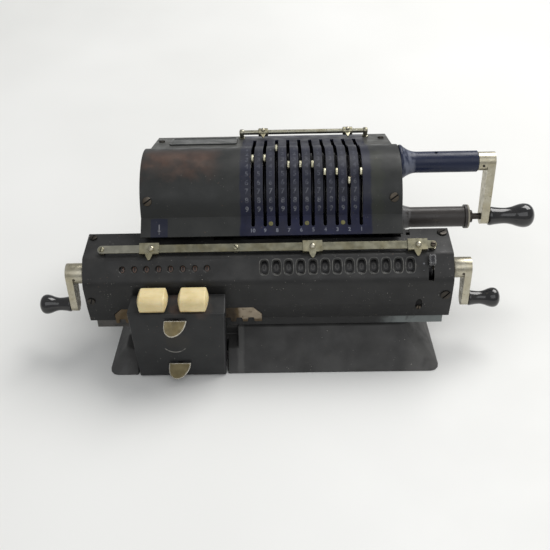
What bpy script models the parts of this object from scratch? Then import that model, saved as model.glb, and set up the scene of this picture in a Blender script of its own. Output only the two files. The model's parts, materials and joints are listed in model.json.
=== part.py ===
"""Pinwheel adding machine with a sliding carriage, hand crank and two clearing cranks.

Shapes are worked out in millimetres in the machine's own frame: X to the right, Y to the back, Z up,
with Z = 0 on the desk and Y = 0 near the foot of the key housing. settle() then scales each shape to
metres and puts the middle of the machine's footprint at the world origin.
"""

import math

import bmesh
import bpy
from mathutils import Matrix, Vector

MM = 0.001
GAP = 0.35
SMOOTH_ANGLE = 35.0

# Driving sizes
PITCH = 9.0
COLUMNS = 10
RESULT_PLACES = 13
COUNTER_PLACES = 8

# Overall limits, which set the world origin
CARRIAGE_LEFT = -140.8
CARRIAGE_RIGHT = 134.4
CRANK_HANDLE_END = 210.0
CLEARING_ARM_OUT = 14.8
CLEARING_KNOB_LENGTH = 24.3
LEFT_KNOB_END = CARRIAGE_LEFT - CLEARING_ARM_OUT - 0.4 - CLEARING_KNOB_LENGTH
LATCH_FRONT = -7.8
BASE_REAR = 186.0
ORIGIN = Vector(((CRANK_HANDLE_END + LEFT_KNOB_END) / 2, (LATCH_FRONT + BASE_REAR) / 2, 0.0))

# Axes that run along X, as (y, z)
ROTOR_AXIS = (107.0, 94.6)
CRANK_AXIS = (111.0, 120.5)
HANDLE_AXIS = (104.0, 73.2)
DIAL_AXIS = (46.0, 68.2)
CLEAR_KNOB_AXIS = (41.0, 41.8)
UPPER_RAIL_AXIS = (166.5, 117.6)

# Base
BASE_HEIGHT = 25.3
LOW_HEIGHT = 14.0
RAISED_LEFT = -27.6
RECESS_BACK = 34.0

# Upper body
COVER_HALF_WIDTH = 98.2
COVER_SHEET = 2.0
PLATE_THICKNESS = 3.1
DRUM_RADIUS = 38.6
APRON_EDGE = (57.0, 92.8)
DRUM_START = 10.8
DRUM_END = 128.9
PLATE_REAR = (178.0, 108.0)
TOP_PLATE_HALF_WIDTH = 96.0
SLOT_WIDTH = 2.6
FIRST_COLUMN_X = 67.4
SLOT_FOOT = 7.0
SLOT_REAR_Y = 157.0

# Rotor and setting levers
ROTOR_DISC_RADIUS = 31.0
ROTOR_CORE_RADIUS = 10.0
ROTOR_DISC_WIDTH = 6.0
TUBE_RADIUS = 8.2
LEVER_THICKNESS = 1.8
LEVER_RING_RADIUS = 33.0
LEVER_TIP_RADIUS = 42.6
NINE_ANGLE = 19.3
DIGIT_STEP = 10.0
SET_DIGITS = (5, 6, 5, 5, 4, 4, 4, 1, 3, 3)

# Gear train from the crank to the rotor
GEAR_TEETH = 14
GEAR_LEFT = 84.5
GEAR_RIGHT = 89.5

# Carriage
CARRIAGE_SHEET = 1.6
CARRIAGE_TOP = 85.2
CARRIAGE_FRONT = 28.9
CARRIAGE_BACK = 72.6
FACET_TOP = (42.4, 84.8)
FACET_FOOT = (28.9, 70.0)
WINDOW_RISE = 11.7
FIRST_RESULT_X = -5.6
FIRST_COUNTER_X = -111.1
DIAL_RADIUS = 11.4
DIAL_WIDTH = 7.6
DIAL_SIDES = 16
SHAFT_RADIUS = 4.0
REAR_WALL = (60.2, 61.8)
LEVER_CLEARANCE = (-44.0, 98.0)
LAST_LEVER_NOTCH = (101.9, 104.9)
NOTCH_GUARD = ((75.0, 72.0), (79.0, 79.9))
SELECTOR_X = 117.6
SELECTOR_ANGLE = 57.0
RAIL_CENTRE = (48.0, 88.8)
RAIL_TILT = 30.0
RAIL_ENDS = (-129.6, 122.2)
RAIL_POSTS = (-126.6, -26.6, 119.4)
DECIMAL_POINTERS = (-90.9, 30.4, 107.9)
RACK_TOP = 45.4
RACK_BOTTOM = 31.0
RACK_RIGHT = -8.6

# Upper pointer rail
UPPER_RAIL_ENDS = (-26.6, 80.0)
UPPER_RAIL_COLLAR = 3.8
UPPER_POINTERS = (-6.8, 63.2)

# Crank
ARM_INNER = 166.6
ARM_OUTER = 172.7
HANDLE_START = 173.1

# Key housing
HOUSING_TOP = 61.5
HOUSING_WALL = 2.6
KEY_CENTRES = (-86.6, -57.0)
KEY_STEM_Y = 15.0
KEY_FRONT = 3.2
KEY_BACK = 22.6
KEY_BOTTOM = 64.9
KEY_TOP = 75.2
LATCH_X = -70.6
LATCH_PIVOT_Y = 18.0
LATCH_HALF_WIDTH = 8.3
LATCH_THICKNESS = 1.6
LATCH_SKEW = 2.6

# Each latch: name, height of its slot's middle, lip start and end (y, z)
LATCHES = (
    ("upper_latch", 51.5, (4.0, 56.6), (-5.2, 48.6)),
    ("lower_latch", 12.5, (1.2, 15.8), (LATCH_FRONT + 0.6, 6.6)),
)

MATERIALS = {
    "black_paint": ((0.030, 0.032, 0.035), 0.45, 0.0),
    "navy_paint": ((0.022, 0.028, 0.075), 0.40, 0.0),
    "nickel": ((0.45, 0.43, 0.36), 0.32, 1.0),
    "steel": ((0.33, 0.33, 0.33), 0.40, 1.0),
    "brass": ((0.34, 0.26, 0.14), 0.45, 1.0),
    "ivory": ((0.78, 0.68, 0.42), 0.45, 0.0),
    "black_gloss": ((0.008, 0.008, 0.009), 0.12, 0.0),
    "dial_enamel": ((0.060, 0.060, 0.062), 0.50, 0.0),
}


def make_material(slot):
    """Plain Principled material for one slot, made once."""
    if slot in bpy.data.materials:
        return bpy.data.materials[slot]
    colour, roughness, metallic = MATERIALS[slot]
    material = bpy.data.materials.new(slot)
    material.use_nodes = True
    shader = material.node_tree.nodes["Principled BSDF"]
    shader.inputs["Base Color"].default_value = (*colour, 1.0)
    shader.inputs["Roughness"].default_value = roughness
    shader.inputs["Metallic"].default_value = metallic
    return material


def settle(shape, name, slot, pivot=(0.0, 0.0, 0.0)):
    """Name a millimetre shape, put its origin on the pivot and carry it to its place in metres."""
    shape.name = name
    shape.data.name = name
    shape.data.transform(Matrix.Scale(MM, 4) @ Matrix.Translation(-Vector(pivot)))
    shape.location = (Vector(pivot) - ORIGIN) * MM
    shape.data.materials.clear()
    shape.data.materials.append(make_material(slot))
    shape.data.shade_smooth()
    shape.data.set_sharp_from_angle(angle=math.radians(SMOOTH_ANGLE))
    return shape


def attach(child, parent):
    """Parent a settled piece to the piece or empty that carries it, without moving it."""
    bpy.context.view_layer.update()
    child.location -= parent.matrix_world.translation
    child.parent = parent


def pivot_empty(name, pivot):
    """Empty that marks an assembly's own axis or corner."""
    empty = bpy.data.objects.new(name, None)
    empty.location = (Vector(pivot) - ORIGIN) * MM
    empty.empty_display_size = 0.02
    bpy.context.collection.objects.link(empty)
    return empty


# Shape makers


def skin(rings, ring_of_rings=False):
    """Closed solid over rings of equal length: capped at both ends, or joined end to start."""
    bm = bmesh.new()
    loops = [[bm.verts.new(point) for point in ring] for ring in rings]
    pairs = list(zip(loops, loops[1:]))
    if ring_of_rings:
        pairs.append((loops[-1], loops[0]))
    else:
        bm.faces.new(loops[0])
        bm.faces.new(loops[-1])
    for near, far in pairs:
        for i in range(len(near)):
            j = (i + 1) % len(near)
            bm.faces.new((near[i], near[j], far[j], far[i]))
    bmesh.ops.recalc_face_normals(bm, faces=bm.faces)
    mesh = bpy.data.meshes.new("shape")
    bm.to_mesh(mesh)
    bm.free()
    shape = bpy.data.objects.new("shape", mesh)
    bpy.context.collection.objects.link(shape)
    return shape


def prism(outline, left, right):
    """Solid between two X planes from a closed (y, z) outline."""
    return skin([[(x, y, z) for y, z in outline] for x in (left, right)])


def box(low, high):
    """Rectangular solid between two corners."""
    (x0, y0, z0), (x1, y1, z1) = low, high
    return prism([(y0, z0), (y1, z0), (y1, z1), (y0, z1)], x0, x1)


def lathe(profile, axis, sides=20, hollow=False):
    """Turned solid about an X axis from (x, radius) points; hollow joins the last to the first."""
    y, z = axis
    rings = []
    for x, radius in profile:
        turns = [2 * math.pi * i / sides for i in range(sides)]
        rings.append([(x, y - radius * math.cos(t), z + radius * math.sin(t)) for t in turns])
    return skin(rings, hollow)


def post(x, y, radius, bottom, top, sides=12):
    """Upright round bar."""
    turns = [2 * math.pi * i / sides for i in range(sides)]
    circle = [(x + radius * math.cos(t), y + radius * math.sin(t)) for t in turns]
    return skin([[(*point, z) for point in circle] for z in (bottom, top)])


def combine(target, tool, operation):
    """Apply one exact Boolean and drop the tool."""
    modifier = target.modifiers.new("combine", "BOOLEAN")
    modifier.operation = operation
    modifier.solver = "EXACT"
    modifier.object = tool
    bpy.context.view_layer.update()
    graph = bpy.context.evaluated_depsgraph_get()
    mesh = bpy.data.meshes.new_from_object(target.evaluated_get(graph))
    target.modifiers.clear()
    target.data = mesh
    bpy.data.objects.remove(tool, do_unlink=True)
    return target


def join(target, *tools):
    for tool in tools:
        combine(target, tool, "UNION")
    return target


def cut(target, *tools):
    for tool in tools:
        combine(target, tool, "DIFFERENCE")
    return target


def soften(shape, width, segments, pick):
    """Bevel the edges whose two end points both pass the test."""
    bm = bmesh.new()
    bm.from_mesh(shape.data)
    edges = [e for e in bm.edges if all(pick(v.co) for v in e.verts)]
    bmesh.ops.bevel(bm, geom=edges, offset=width, segments=segments, profile=0.5, affect="EDGES")
    bm.to_mesh(shape.data)
    bm.free()
    return shape


# Outline helpers, all in (y, z)


def arc(centre, radius, start, end, steps):
    """Arc points; degrees run from the front over the top to the back."""
    points = []
    for i in range(steps + 1):
        t = math.radians(start + (end - start) * i / steps)
        points.append((centre[0] - radius * math.cos(t), centre[1] + radius * math.sin(t)))
    return points


def rounded(corners, steps=4):
    """Open line through (y, z, radius) corners, with each inner corner rounded."""
    points = [Vector(corners[0][:2])]
    for before, corner, after in zip(corners, corners[1:], corners[2:]):
        here = Vector(corner[:2])
        back = (Vector(before[:2]) - here).normalized()
        ahead = (Vector(after[:2]) - here).normalized()
        half = back.angle(ahead) / 2
        reach = corner[2] / math.tan(half)
        centre = here + (back + ahead).normalized() * corner[2] / math.sin(half)
        first = here + back * reach - centre
        last = here + ahead * reach - centre
        for i in range(steps + 1):
            points.append(centre + first.slerp(last, i / steps).normalized() * corner[2])
    points.append(Vector(corners[-1][:2]))
    return [tuple(point) for point in points]


def shifted(line, distance):
    """The same open line moved sideways; plus is to the right of the direction of travel."""
    moved = []
    for i, point in enumerate(line):
        before = Vector(line[max(i - 1, 0)])
        after = Vector(line[min(i + 1, len(line) - 1)])
        here = Vector(point)
        sides = []
        for step in (here - before, after - here):
            if step.length > 1e-6:
                step.normalize()
                sides.append(Vector((step.y, -step.x)))
        normal = sum(sides, Vector((0.0, 0.0))).normalized()
        moved.append(tuple(here + normal * distance / normal.dot(sides[0])))
    return moved


def sheet(line, thickness, left, right):
    """Bent sheet whose outer face follows an open line that has its inside on the right."""
    return prism(line + shifted(line, thickness)[::-1], left, right)


def bar_outline(start, end, start_radius, end_radius, steps=8):
    """Flat bar with round ends between two axes."""
    lean = math.degrees(math.atan2(end[1] - start[1], -(end[0] - start[0])))
    near = arc(start, start_radius, lean + 90, lean + 270, steps)
    far = arc(end, end_radius, lean - 90, lean + 90, steps)
    return near + far


def column_x(column):
    """X of setting column 1 to 10, counted from the right."""
    return FIRST_COLUMN_X - PITCH * (column - 1)


def drum_line():
    """Outer face of the drum cover, from the apron's edge over the top to the crease."""
    return [APRON_EDGE] + arc(ROTOR_AXIS, DRUM_RADIUS, DRUM_START, DRUM_END, 18)


def slope_direction():
    """Direction of the sloping top plate, towards the back."""
    start = Vector(arc(ROTOR_AXIS, DRUM_RADIUS, DRUM_END, DRUM_END, 1)[0])
    return start, (Vector(PLATE_REAR) - start).normalized()


def top_line():
    """Outer face of the top plate, from just behind the crease, bent down at the rear."""
    start, direction = slope_direction()
    first = start + direction * 0.5
    return rounded([(*first, 0), (*PLATE_REAR, 4.0), (PLATE_REAR[0], 101.0, 0)], 3)


def carriage_line():
    """Outer face of the carriage cover, from the back of the top down to the front's lower edge."""
    corners = [
        (CARRIAGE_BACK, CARRIAGE_TOP, 0),
        (*FACET_TOP, 6.5),
        (*FACET_FOOT, 10.0),
        (CARRIAGE_FRONT, 48.0, 20.0),
        (30.3, 33.8, 0),
    ]
    return rounded(corners, 4)[::-1]


def facet_point(rise, depth=0.0):
    """Point on the window facet: rise from its foot along it, depth below its face."""
    foot = Vector(FACET_FOOT)
    along = (Vector(FACET_TOP) - foot).normalized()
    inward = Vector((along.y, -along.x))
    return foot + along * rise + inward * depth


# Body


def frustum(bottom_front, bottom_rear, top_front, top_rear, bottom, top):
    """Four-sided solid; each end is a (half width, y) pair for the front and the rear."""
    rings = []
    for (front, y0), (rear, y1), z in ((bottom_front, bottom_rear, bottom), (top_front, top_rear, top)):
        rings.append([(-front, y0, z), (front, y0, z), (rear, y1, z), (-rear, y1, z)])
    return skin(rings)


def base_casting():
    casting = frustum((127.8, 3.6), (119.5, BASE_REAR), (105.0, 29.5), (98.8, 179.6), 0.0, BASE_HEIGHT)
    bm = bmesh.new()
    bm.from_mesh(casting.data)
    hips = [e for e in bm.edges if abs(e.verts[0].co.z - e.verts[1].co.z) > 1.0]
    bmesh.ops.bevel(bm, geom=hips, offset=6.0, segments=3, profile=0.5, affect="EDGES")
    bm.to_mesh(casting.data)
    bm.free()
    recess = box((-130.0, -5.0, LOW_HEIGHT), (RAISED_LEFT, RECESS_BACK, 30.0))
    notch = box((-104.4, -5.0, -5.0), (-35.6, 28.8, 20.0))
    cavity = frustum((109.0, 46.0), (103.0, 172.0), (97.0, 46.0), (91.0, 170.0), -0.4, 21.0)
    return settle(cut(casting, recess, notch, cavity), "base_casting", "black_paint")


def base_plate():
    plate = frustum((107.8, 46.6), (102.0, 171.2), (106.8, 46.6), (101.0, 171.2), 0.8, 2.6)
    return settle(plate, "base_plate", "steel")


def carriage_guide_rail():
    rail = box((-100.0, 36.4, BASE_HEIGHT + GAP), (100.0, 39.6, 29.8))
    return settle(rail, "carriage_guide_rail", "steel")


def frame_outline():
    inner = shifted(drum_line(), COVER_SHEET + GAP)
    start, direction = slope_direction()
    down = Vector((direction.y, -direction.x)) * (COVER_SHEET + GAP)
    near = start + direction * 2.0 + down
    far = Vector((PLATE_REAR[0] - 3.0, PLATE_REAR[1] - 2.0)) + down * 0.8
    outline = [(74.4, BASE_HEIGHT + GAP), (74.4, 87.5), (62.0, 91.9)]
    outline += inner[1:]
    outline += [tuple(near), (far.x - 1.0, far.y + 0.2), (far.x, far.y - 2.0), (far.x, BASE_HEIGHT + GAP)]
    return outline


def frame_plate(name, left, right, holes, *lugs):
    plate = join(prism(frame_outline(), left, right), *lugs)
    for axis, radius in holes:
        cut(plate, lathe([(left - 5, radius), (right + 5, radius)], axis))
    return settle(plate, name, "black_paint")


def idler_axis():
    return ((ROTOR_AXIS[0] + CRANK_AXIS[0]) / 2, (ROTOR_AXIS[1] + CRANK_AXIS[1]) / 2)


def frame_plates():
    outer = COVER_HALF_WIDTH - 0.6
    bearing = (ROTOR_AXIS, 5.3)
    left = frame_plate("left_frame_plate", -outer, -outer + PLATE_THICKNESS, [bearing])
    holes = [bearing, (CRANK_AXIS, 6.8), (HANDLE_AXIS, 6.8), (idler_axis(), 2.4)]
    guard_low, guard_high = NOTCH_GUARD
    guard = box((outer - 0.5, *guard_low), (LAST_LEVER_NOTCH[1] + 3.0, *guard_high))
    right = frame_plate("right_frame_plate", outer - PLATE_THICKNESS, outer, holes, guard)
    return left, right


def rear_cover():
    low = (-TOP_PLATE_HALF_WIDTH, PLATE_REAR[0] - 1.8, BASE_HEIGHT + GAP)
    cover = box(low, (TOP_PLATE_HALF_WIDTH, PLATE_REAR[0], 100.6))
    return settle(cover, "rear_cover", "black_paint")


def slot_outline():
    """Side outline of the space that a lever sweeps through the cover and the top plate."""
    edge = Vector(APRON_EDGE)
    along = (Vector(drum_line()[1]) - edge).normalized()
    across = Vector((along.y, -along.x))
    foot = edge + along * SLOT_FOOT
    end_z = slope_direction()[0].y + slope_direction()[1].y * 27.0
    outside = [tuple(foot - across * 5.0)] + arc(ROTOR_AXIS, 47.0, 20.0, 120.0, 6)
    outside += [(SLOT_REAR_Y, end_z + 9.0)]
    inside = [(SLOT_REAR_Y, end_z - 7.0)] + arc(ROTOR_AXIS, 30.0, 120.0, 5.0, 6)
    return outside + inside + [tuple(foot + across * 5.0)]


def cut_slots(cover):
    for column in range(1, COLUMNS + 1):
        x = column_x(column)
        cut(cover, prism(slot_outline(), x - SLOT_WIDTH / 2, x + SLOT_WIDTH / 2))
    return cover


def drum_cover():
    cover = sheet(drum_line(), COVER_SHEET, -COVER_HALF_WIDTH, COVER_HALF_WIDTH)
    return settle(cut_slots(cover), "drum_cover", "black_paint")


def top_plate():
    plate = sheet(top_line(), COVER_SHEET, -TOP_PLATE_HALF_WIDTH, TOP_PLATE_HALF_WIDTH)
    return settle(cut_slots(plate), "top_plate", "black_paint")


def crank_bearing_tube():
    outer = [(94.2, 6.5), (98.5, 6.5), (98.5, 13.7), (100.4, 13.7), (104.0, 10.6)]
    outer += [(109.0, TUBE_RADIUS), (159.4, TUBE_RADIUS)]
    tube = lathe(outer + [(159.4, 4.4), (94.2, 4.4)], CRANK_AXIS, 20, hollow=True)
    return settle(tube, "crank_bearing_tube", "navy_paint")


def crank_stop_tube():
    bore = [(147.0, 2.9), (157.2, 2.9)]
    outer = [(157.2, 9.6), (153.8, 9.6), (153.8, TUBE_RADIUS), (110.5, TUBE_RADIUS)]
    outer += [(106.0, 9.6), (101.0, 10.6), (98.5, 10.6), (98.5, 6.5)]
    tube = lathe(bore + outer + [(94.2, 6.5)], HANDLE_AXIS, 20)
    return settle(tube, "crank_stop_tube", "navy_paint")


# Gears, rotor and levers


def gear(axis, towards, offset):
    """Toothed wheel; one tooth, or one gap when offset is half a pitch, points at another axis."""
    pitch_radius = math.dist(ROTOR_AXIS, CRANK_AXIS) / 4
    step = 360.0 / GEAR_TEETH
    aim = math.degrees(math.atan2(towards[1] - axis[1], -(towards[0] - axis[0]))) + offset * step
    outline = []
    for tooth in range(GEAR_TEETH):
        middle = aim + tooth * step
        for share, reach in ((-0.30, -1.25), (-0.10, 0.85), (0.10, 0.85), (0.30, -1.25)):
            outline += arc(axis, pitch_radius + reach, middle + share * step, middle + share * step, 1)[:1]
    return prism(outline, GEAR_LEFT, GEAR_RIGHT)


def crank_shaft():
    shaft = lathe([(81.0, SHAFT_RADIUS), (172.4, SHAFT_RADIUS)], CRANK_AXIS, 16)
    return settle(join(shaft, gear(CRANK_AXIS, ROTOR_AXIS, 0.0)), "crank_shaft", "steel", (0, *CRANK_AXIS))


def idler_gear():
    shaft = lathe([(82.0, 2.0), (97.2, 2.0)], idler_axis(), 12)
    return settle(join(shaft, gear(idler_axis(), ROTOR_AXIS, 0.5)), "idler_gear", "steel", (0, *idler_axis()))


def rotor():
    half = ROTOR_DISC_WIDTH / 2
    profile = [(-97.2, 5.0), (column_x(COLUMNS) - PITCH, 5.0)]
    for place in range(COLUMNS + 1):
        middle = column_x(COLUMNS) + PITCH * (place - 0.5)
        start = ROTOR_CORE_RADIUS if place else 5.0
        profile += [(middle - half, start), (middle - half, ROTOR_DISC_RADIUS)]
        end = ROTOR_CORE_RADIUS if place < COLUMNS else 5.0
        profile += [(middle + half, ROTOR_DISC_RADIUS), (middle + half, end)]
    profile += [(97.2, 5.0)]
    body = lathe(profile, ROTOR_AXIS, 16)
    return settle(join(body, gear(ROTOR_AXIS, CRANK_AXIS, 0.0)), "rotor", "steel", (0, *ROTOR_AXIS))


def lever_mesh():
    """Setting ring with its finger pointing to the front, centred on the rotor axis at X = 0."""
    finger_half = 2.9
    root = math.degrees(math.asin(finger_half / LEVER_RING_RADIUS))
    outline = arc(ROTOR_AXIS, LEVER_RING_RADIUS, root, 360 - root, 18)
    y, z = ROTOR_AXIS
    shape = ((LEVER_TIP_RADIUS - 2.0, -finger_half), (LEVER_TIP_RADIUS - 0.5, -1.8), (LEVER_TIP_RADIUS, 0.0))
    outline += [(y - radius, z + side) for radius, side in shape]
    outline += [(y - radius, z - side) for radius, side in shape[1::-1]]
    ring = prism(outline, -LEVER_THICKNESS / 2, LEVER_THICKNESS / 2)
    return cut(ring, lathe([(-5, ROTOR_CORE_RADIUS + 0.4), (5, ROTOR_CORE_RADIUS + 0.4)], ROTOR_AXIS, 16))


def setting_levers():
    levers = []
    for column, digit in zip(range(1, COLUMNS + 1), SET_DIGITS):
        lever = lever_mesh()
        settle(lever, f"setting_lever_{column}", "nickel", (0, *ROTOR_AXIS))
        lever.location.x += column_x(column) * MM
        lever.rotation_euler.x = -math.radians(NINE_ANGLE + DIGIT_STEP * (9 - digit))
        levers.append(lever)
    return levers


# Crank


def crank_arm():
    arm = prism(bar_outline(CRANK_AXIS, HANDLE_AXIS, 7.2, 6.2), ARM_INNER, ARM_OUTER)
    hub = lathe([(159.8, 7.2), (ARM_INNER + 0.4, 7.2)], CRANK_AXIS, 16)
    shaft_hole = lathe([(155, SHAFT_RADIUS + GAP), (180, SHAFT_RADIUS + GAP)], CRANK_AXIS, 16)
    pin_hole = lathe([(160, 2.9), (180, 2.9)], HANDLE_AXIS, 12)
    return settle(cut(join(arm, hub), shaft_hole, pin_hole), "crank_arm", "nickel", (0, *CRANK_AXIS))


def crank_lock_pin():
    """Pin through the arm; its nose faces the stop tube and its tail carries the handle."""
    profile = [(157.7, 1.8), (158.3, 2.5), (158.3, 5.0), (160.2, 5.0), (160.2, 2.5), (203.0, 2.5)]
    return settle(lathe(profile, HANDLE_AXIS, 12), "crank_lock_pin", "nickel", (0, *HANDLE_AXIS))


def knob_profile(start, length, radius, bore, direction):
    """Pear-shaped knob on a blind bore, from its foot at start out to its round end."""
    shape = ((0.0, 0.74), (0.05, 0.78), (0.25, 0.68), (0.40, 0.66), (0.56, 0.80), (0.68, 0.95))
    shape += ((0.78, 1.0), (0.87, 0.94), (0.95, 0.70), (1.0, 0.30))
    profile = [(start + direction * length * 0.86, bore), (start, bore)]
    return profile + [(start + direction * length * along, radius * share) for along, share in shape]


def crank_handle():
    profile = knob_profile(HANDLE_START, CRANK_HANDLE_END - HANDLE_START, 9.7, 2.9, 1)
    handle = lathe(profile, HANDLE_AXIS, 20)
    return settle(handle, "crank_handle", "black_gloss", (HANDLE_START, *HANDLE_AXIS))


# Pointer rails


def upper_pointer_rail():
    """Round rod between two collars, each on a post that stands on the top plate."""
    left, right = UPPER_RAIL_ENDS
    collar, rod = 2.7, 1.9
    profile = [(left, collar), (left + UPPER_RAIL_COLLAR, collar), (left + UPPER_RAIL_COLLAR, rod)]
    profile += [(right - UPPER_RAIL_COLLAR, rod), (right - UPPER_RAIL_COLLAR, collar), (right, collar)]
    rail = lathe(profile, UPPER_RAIL_AXIS, 12)
    y, z = UPPER_RAIL_AXIS
    start, direction = slope_direction()
    seat = start.y + direction.y / direction.x * (y - start.x) + GAP + 0.5
    for x in (left + UPPER_RAIL_COLLAR / 2, right - UPPER_RAIL_COLLAR / 2):
        join(rail, post(x, y, 1.8, seat, z))
    return settle(rail, "upper_pointer_rail", "nickel", (0, y, z))


def upper_pointer(name, x):
    """Sleeve that slides on the rod, with a pointed tip to the front."""
    y, z = UPPER_RAIL_AXIS
    half, bore, outer = 4.0, 2.3, 3.3
    profile = [(x - half, bore), (x - half, outer), (x + half, outer), (x + half, bore)]
    sleeve = lathe(profile, UPPER_RAIL_AXIS, 12, hollow=True)
    rings = []
    for reach, half_tip, low, high in ((2.6, 2.2, -0.6, 0.8), (7.5, 0.4, -1.2, -0.5)):
        corners = ((-half_tip, low), (half_tip, low), (half_tip, high), (-half_tip, high))
        rings.append([(x + dx, y - reach, z + dz) for dx, dz in corners])
    return settle(join(sleeve, skin(rings)), name, "nickel", (x, y, z))


def rail_frame_point(along, out):
    """Point in the decimal rail's tilted section: along runs forwards and down, out is off its face."""
    t = math.radians(RAIL_TILT)
    y = RAIL_CENTRE[0] - along * math.cos(t) - out * math.sin(t)
    z = RAIL_CENTRE[1] - along * math.sin(t) + out * math.cos(t)
    return (y, z)


def rail_rectangle(half_along, half_out):
    corners = ((-1, -1), (1, -1), (1, 1), (-1, 1))
    return [rail_frame_point(along * half_along, out * half_out) for along, out in corners]


def decimal_rail():
    rail = prism(rail_rectangle(3.1, 0.6), *RAIL_ENDS)
    for x in RAIL_POSTS:
        join(rail, post(x, RAIL_CENTRE[0] + 0.6, 1.7, CARRIAGE_TOP + GAP, RAIL_CENTRE[1]))
    return settle(rail, "decimal_rail", "nickel", (0, *RAIL_CENTRE))


def decimal_pointer(name, x):
    clip = prism(rail_rectangle(4.3, 1.7), x - 7.3, x + 7.3)
    cut(clip, prism(rail_rectangle(3.5, 1.0), x - 9.0, x + 9.0))
    rings = []
    for along, half, thick in ((3.9, 2.9, 0.7), (9.2, 0.5, 0.4)):
        low = rail_frame_point(along, 0.8 - thick)
        high = rail_frame_point(along, 0.8 + thick)
        rings.append([(x - half, *low), (x + half, *low), (x + half, *high), (x - half, *high)])
    return settle(join(clip, skin(rings)), name, "nickel", (x, *RAIL_CENTRE))


# Carriage


def carriage_inside(extra):
    """The carriage cover's inner face, moved a little further in."""
    return shifted(carriage_line(), CARRIAGE_SHEET + extra)


def carriage_frame():
    """Channel that runs on the guide rail, with an end plate at each end and a web between the registers."""
    wall_front, wall_back = REAR_WALL
    floor = [(31.0, 26.2), (36.0, 26.2), (36.0, 30.2), (40.0, 30.2), (40.0, 26.2), (44.0, 26.2), (44.0, 31.4)]
    floor += [(wall_back, 31.4), (wall_back, 82.6), (wall_front, 82.6), (wall_front, 33.4), (31.6, 33.4)]
    channel = prism(floor, -136.4, 130.0)
    inner = carriage_inside(GAP)
    end = [(y, max(z, 34.2)) for y, z in inner[:-1]]
    end += [(72.4, inner[-1][1]), (72.4, 60.0), (62.0, 31.6), (33.0, 31.6)]
    ends = [(CARRIAGE_LEFT + 0.4, -136.0), (129.6, CARRIAGE_RIGHT - 0.4)]
    for left, right in ends:
        join(channel, prism(end, left, right))
    web = [(40.0, 33.0), (60.6, 33.0), (60.6, 72.0)] + arc(DIAL_AXIS, 8.5, 150.0, -30.0, 8)
    join(channel, prism(web, -31.0, -23.0))
    bore = lathe([(-150, SHAFT_RADIUS + GAP), (150, SHAFT_RADIUS + GAP)], DIAL_AXIS, 16)
    return settle(cut(channel, bore), "carriage_frame", "black_paint")


def window_ring(x, rise, half_x, half_rise, chamfer, depth):
    """Eight-sided window outline on the facet, at a depth below its face."""
    plan = []
    for side_x, side_r in ((1, 1), (-1, 1), (-1, -1), (1, -1)):
        corner = [(half_x, half_rise - chamfer), (half_x - chamfer, half_rise)]
        if side_x != side_r:
            corner.reverse()
        plan += [(side_x * dx, side_r * dr) for dx, dr in corner]
    points = []
    for dx, dr in plan:
        y, z = facet_point(rise + dr, depth)
        points.append((x + dx, y, z))
    return points


def result_window(x):
    rings = [
        window_ring(x, WINDOW_RISE, 3.5, 5.9, 2.2, -0.4),
        window_ring(x, WINDOW_RISE, 2.2, 4.7, 1.5, 1.0),
        window_ring(x, WINDOW_RISE, 2.2, 4.7, 1.5, 3.0),
    ]
    return skin(rings)


def counter_window(x):
    rings = [window_ring(x, WINDOW_RISE - 0.2, 2.4, 2.6, 1.3, depth) for depth in (-0.5, 3.0)]
    return skin(rings)


def carriage_cover():
    """Bent sheet with the register windows; its top is cut back where the levers sweep past."""
    cover = sheet(carriage_line(), CARRIAGE_SHEET, CARRIAGE_LEFT, CARRIAGE_RIGHT)
    for (left, right), front in ((LEVER_CLEARANCE, 62.6), (LAST_LEVER_NOTCH, 64.7)):
        cut(cover, box((left, front, 80.0), (right, 80.0, 90.0)))
    right, top = RACK_RIGHT + 0.4, RACK_TOP + 0.4
    rack_opening = [(-121.6, 20.0), (right, 20.0), (right, top - 6.6), (right - 6.4, top), (-116.0, top)]
    rack_opening += [(-121.6, top - 5.4)]
    cut(cover, skin([[(x, y, z) for x, z in rack_opening] for y in (20.0, 31.2)]))
    for place in range(RESULT_PLACES):
        cut(cover, result_window(FIRST_RESULT_X + PITCH * place))
    for place in range(COUNTER_PLACES):
        cut(cover, counter_window(FIRST_COUNTER_X + PITCH * place))
    slot = arc(DIAL_AXIS, 9.0, 2.0, 74.0, 4) + arc(DIAL_AXIS, 26.0, 74.0, 2.0, 4)
    cut(cover, prism(slot, SELECTOR_X - 2.1, SELECTOR_X + 2.1))
    return settle(cover, "carriage_cover", "black_paint")


def selector_lever():
    left, right = SELECTOR_X - 2.0, SELECTOR_X + 2.0
    sleeve = lathe([(left, 4.5), (left, 7.0), (right, 7.0), (right, 4.5)], DIAL_AXIS, 16, hollow=True)
    t = math.radians(SELECTOR_ANGLE)
    out = Vector((-math.cos(t), math.sin(t)))
    across = Vector((out.y, -out.x))
    centre = Vector(DIAL_AXIS)

    def strip(inner, outer, inner_half, outer_half, half_x):
        ring = [centre + out * inner - across * inner_half, centre + out * inner + across * inner_half]
        ring += [centre + out * outer + across * outer_half, centre + out * outer - across * outer_half]
        return prism([tuple(point) for point in ring], SELECTOR_X - half_x, SELECTOR_X + half_x)

    neck = strip(6.0, 18.4, 1.6, 1.6, 1.2)
    knob = soften(strip(17.6, 21.4, 4.4, 3.6, 2.5), 0.8, 1, lambda co: True)
    return settle(join(sleeve, neck, knob), "selector_lever", "black_gloss", (SELECTOR_X, *DIAL_AXIS))


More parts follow.
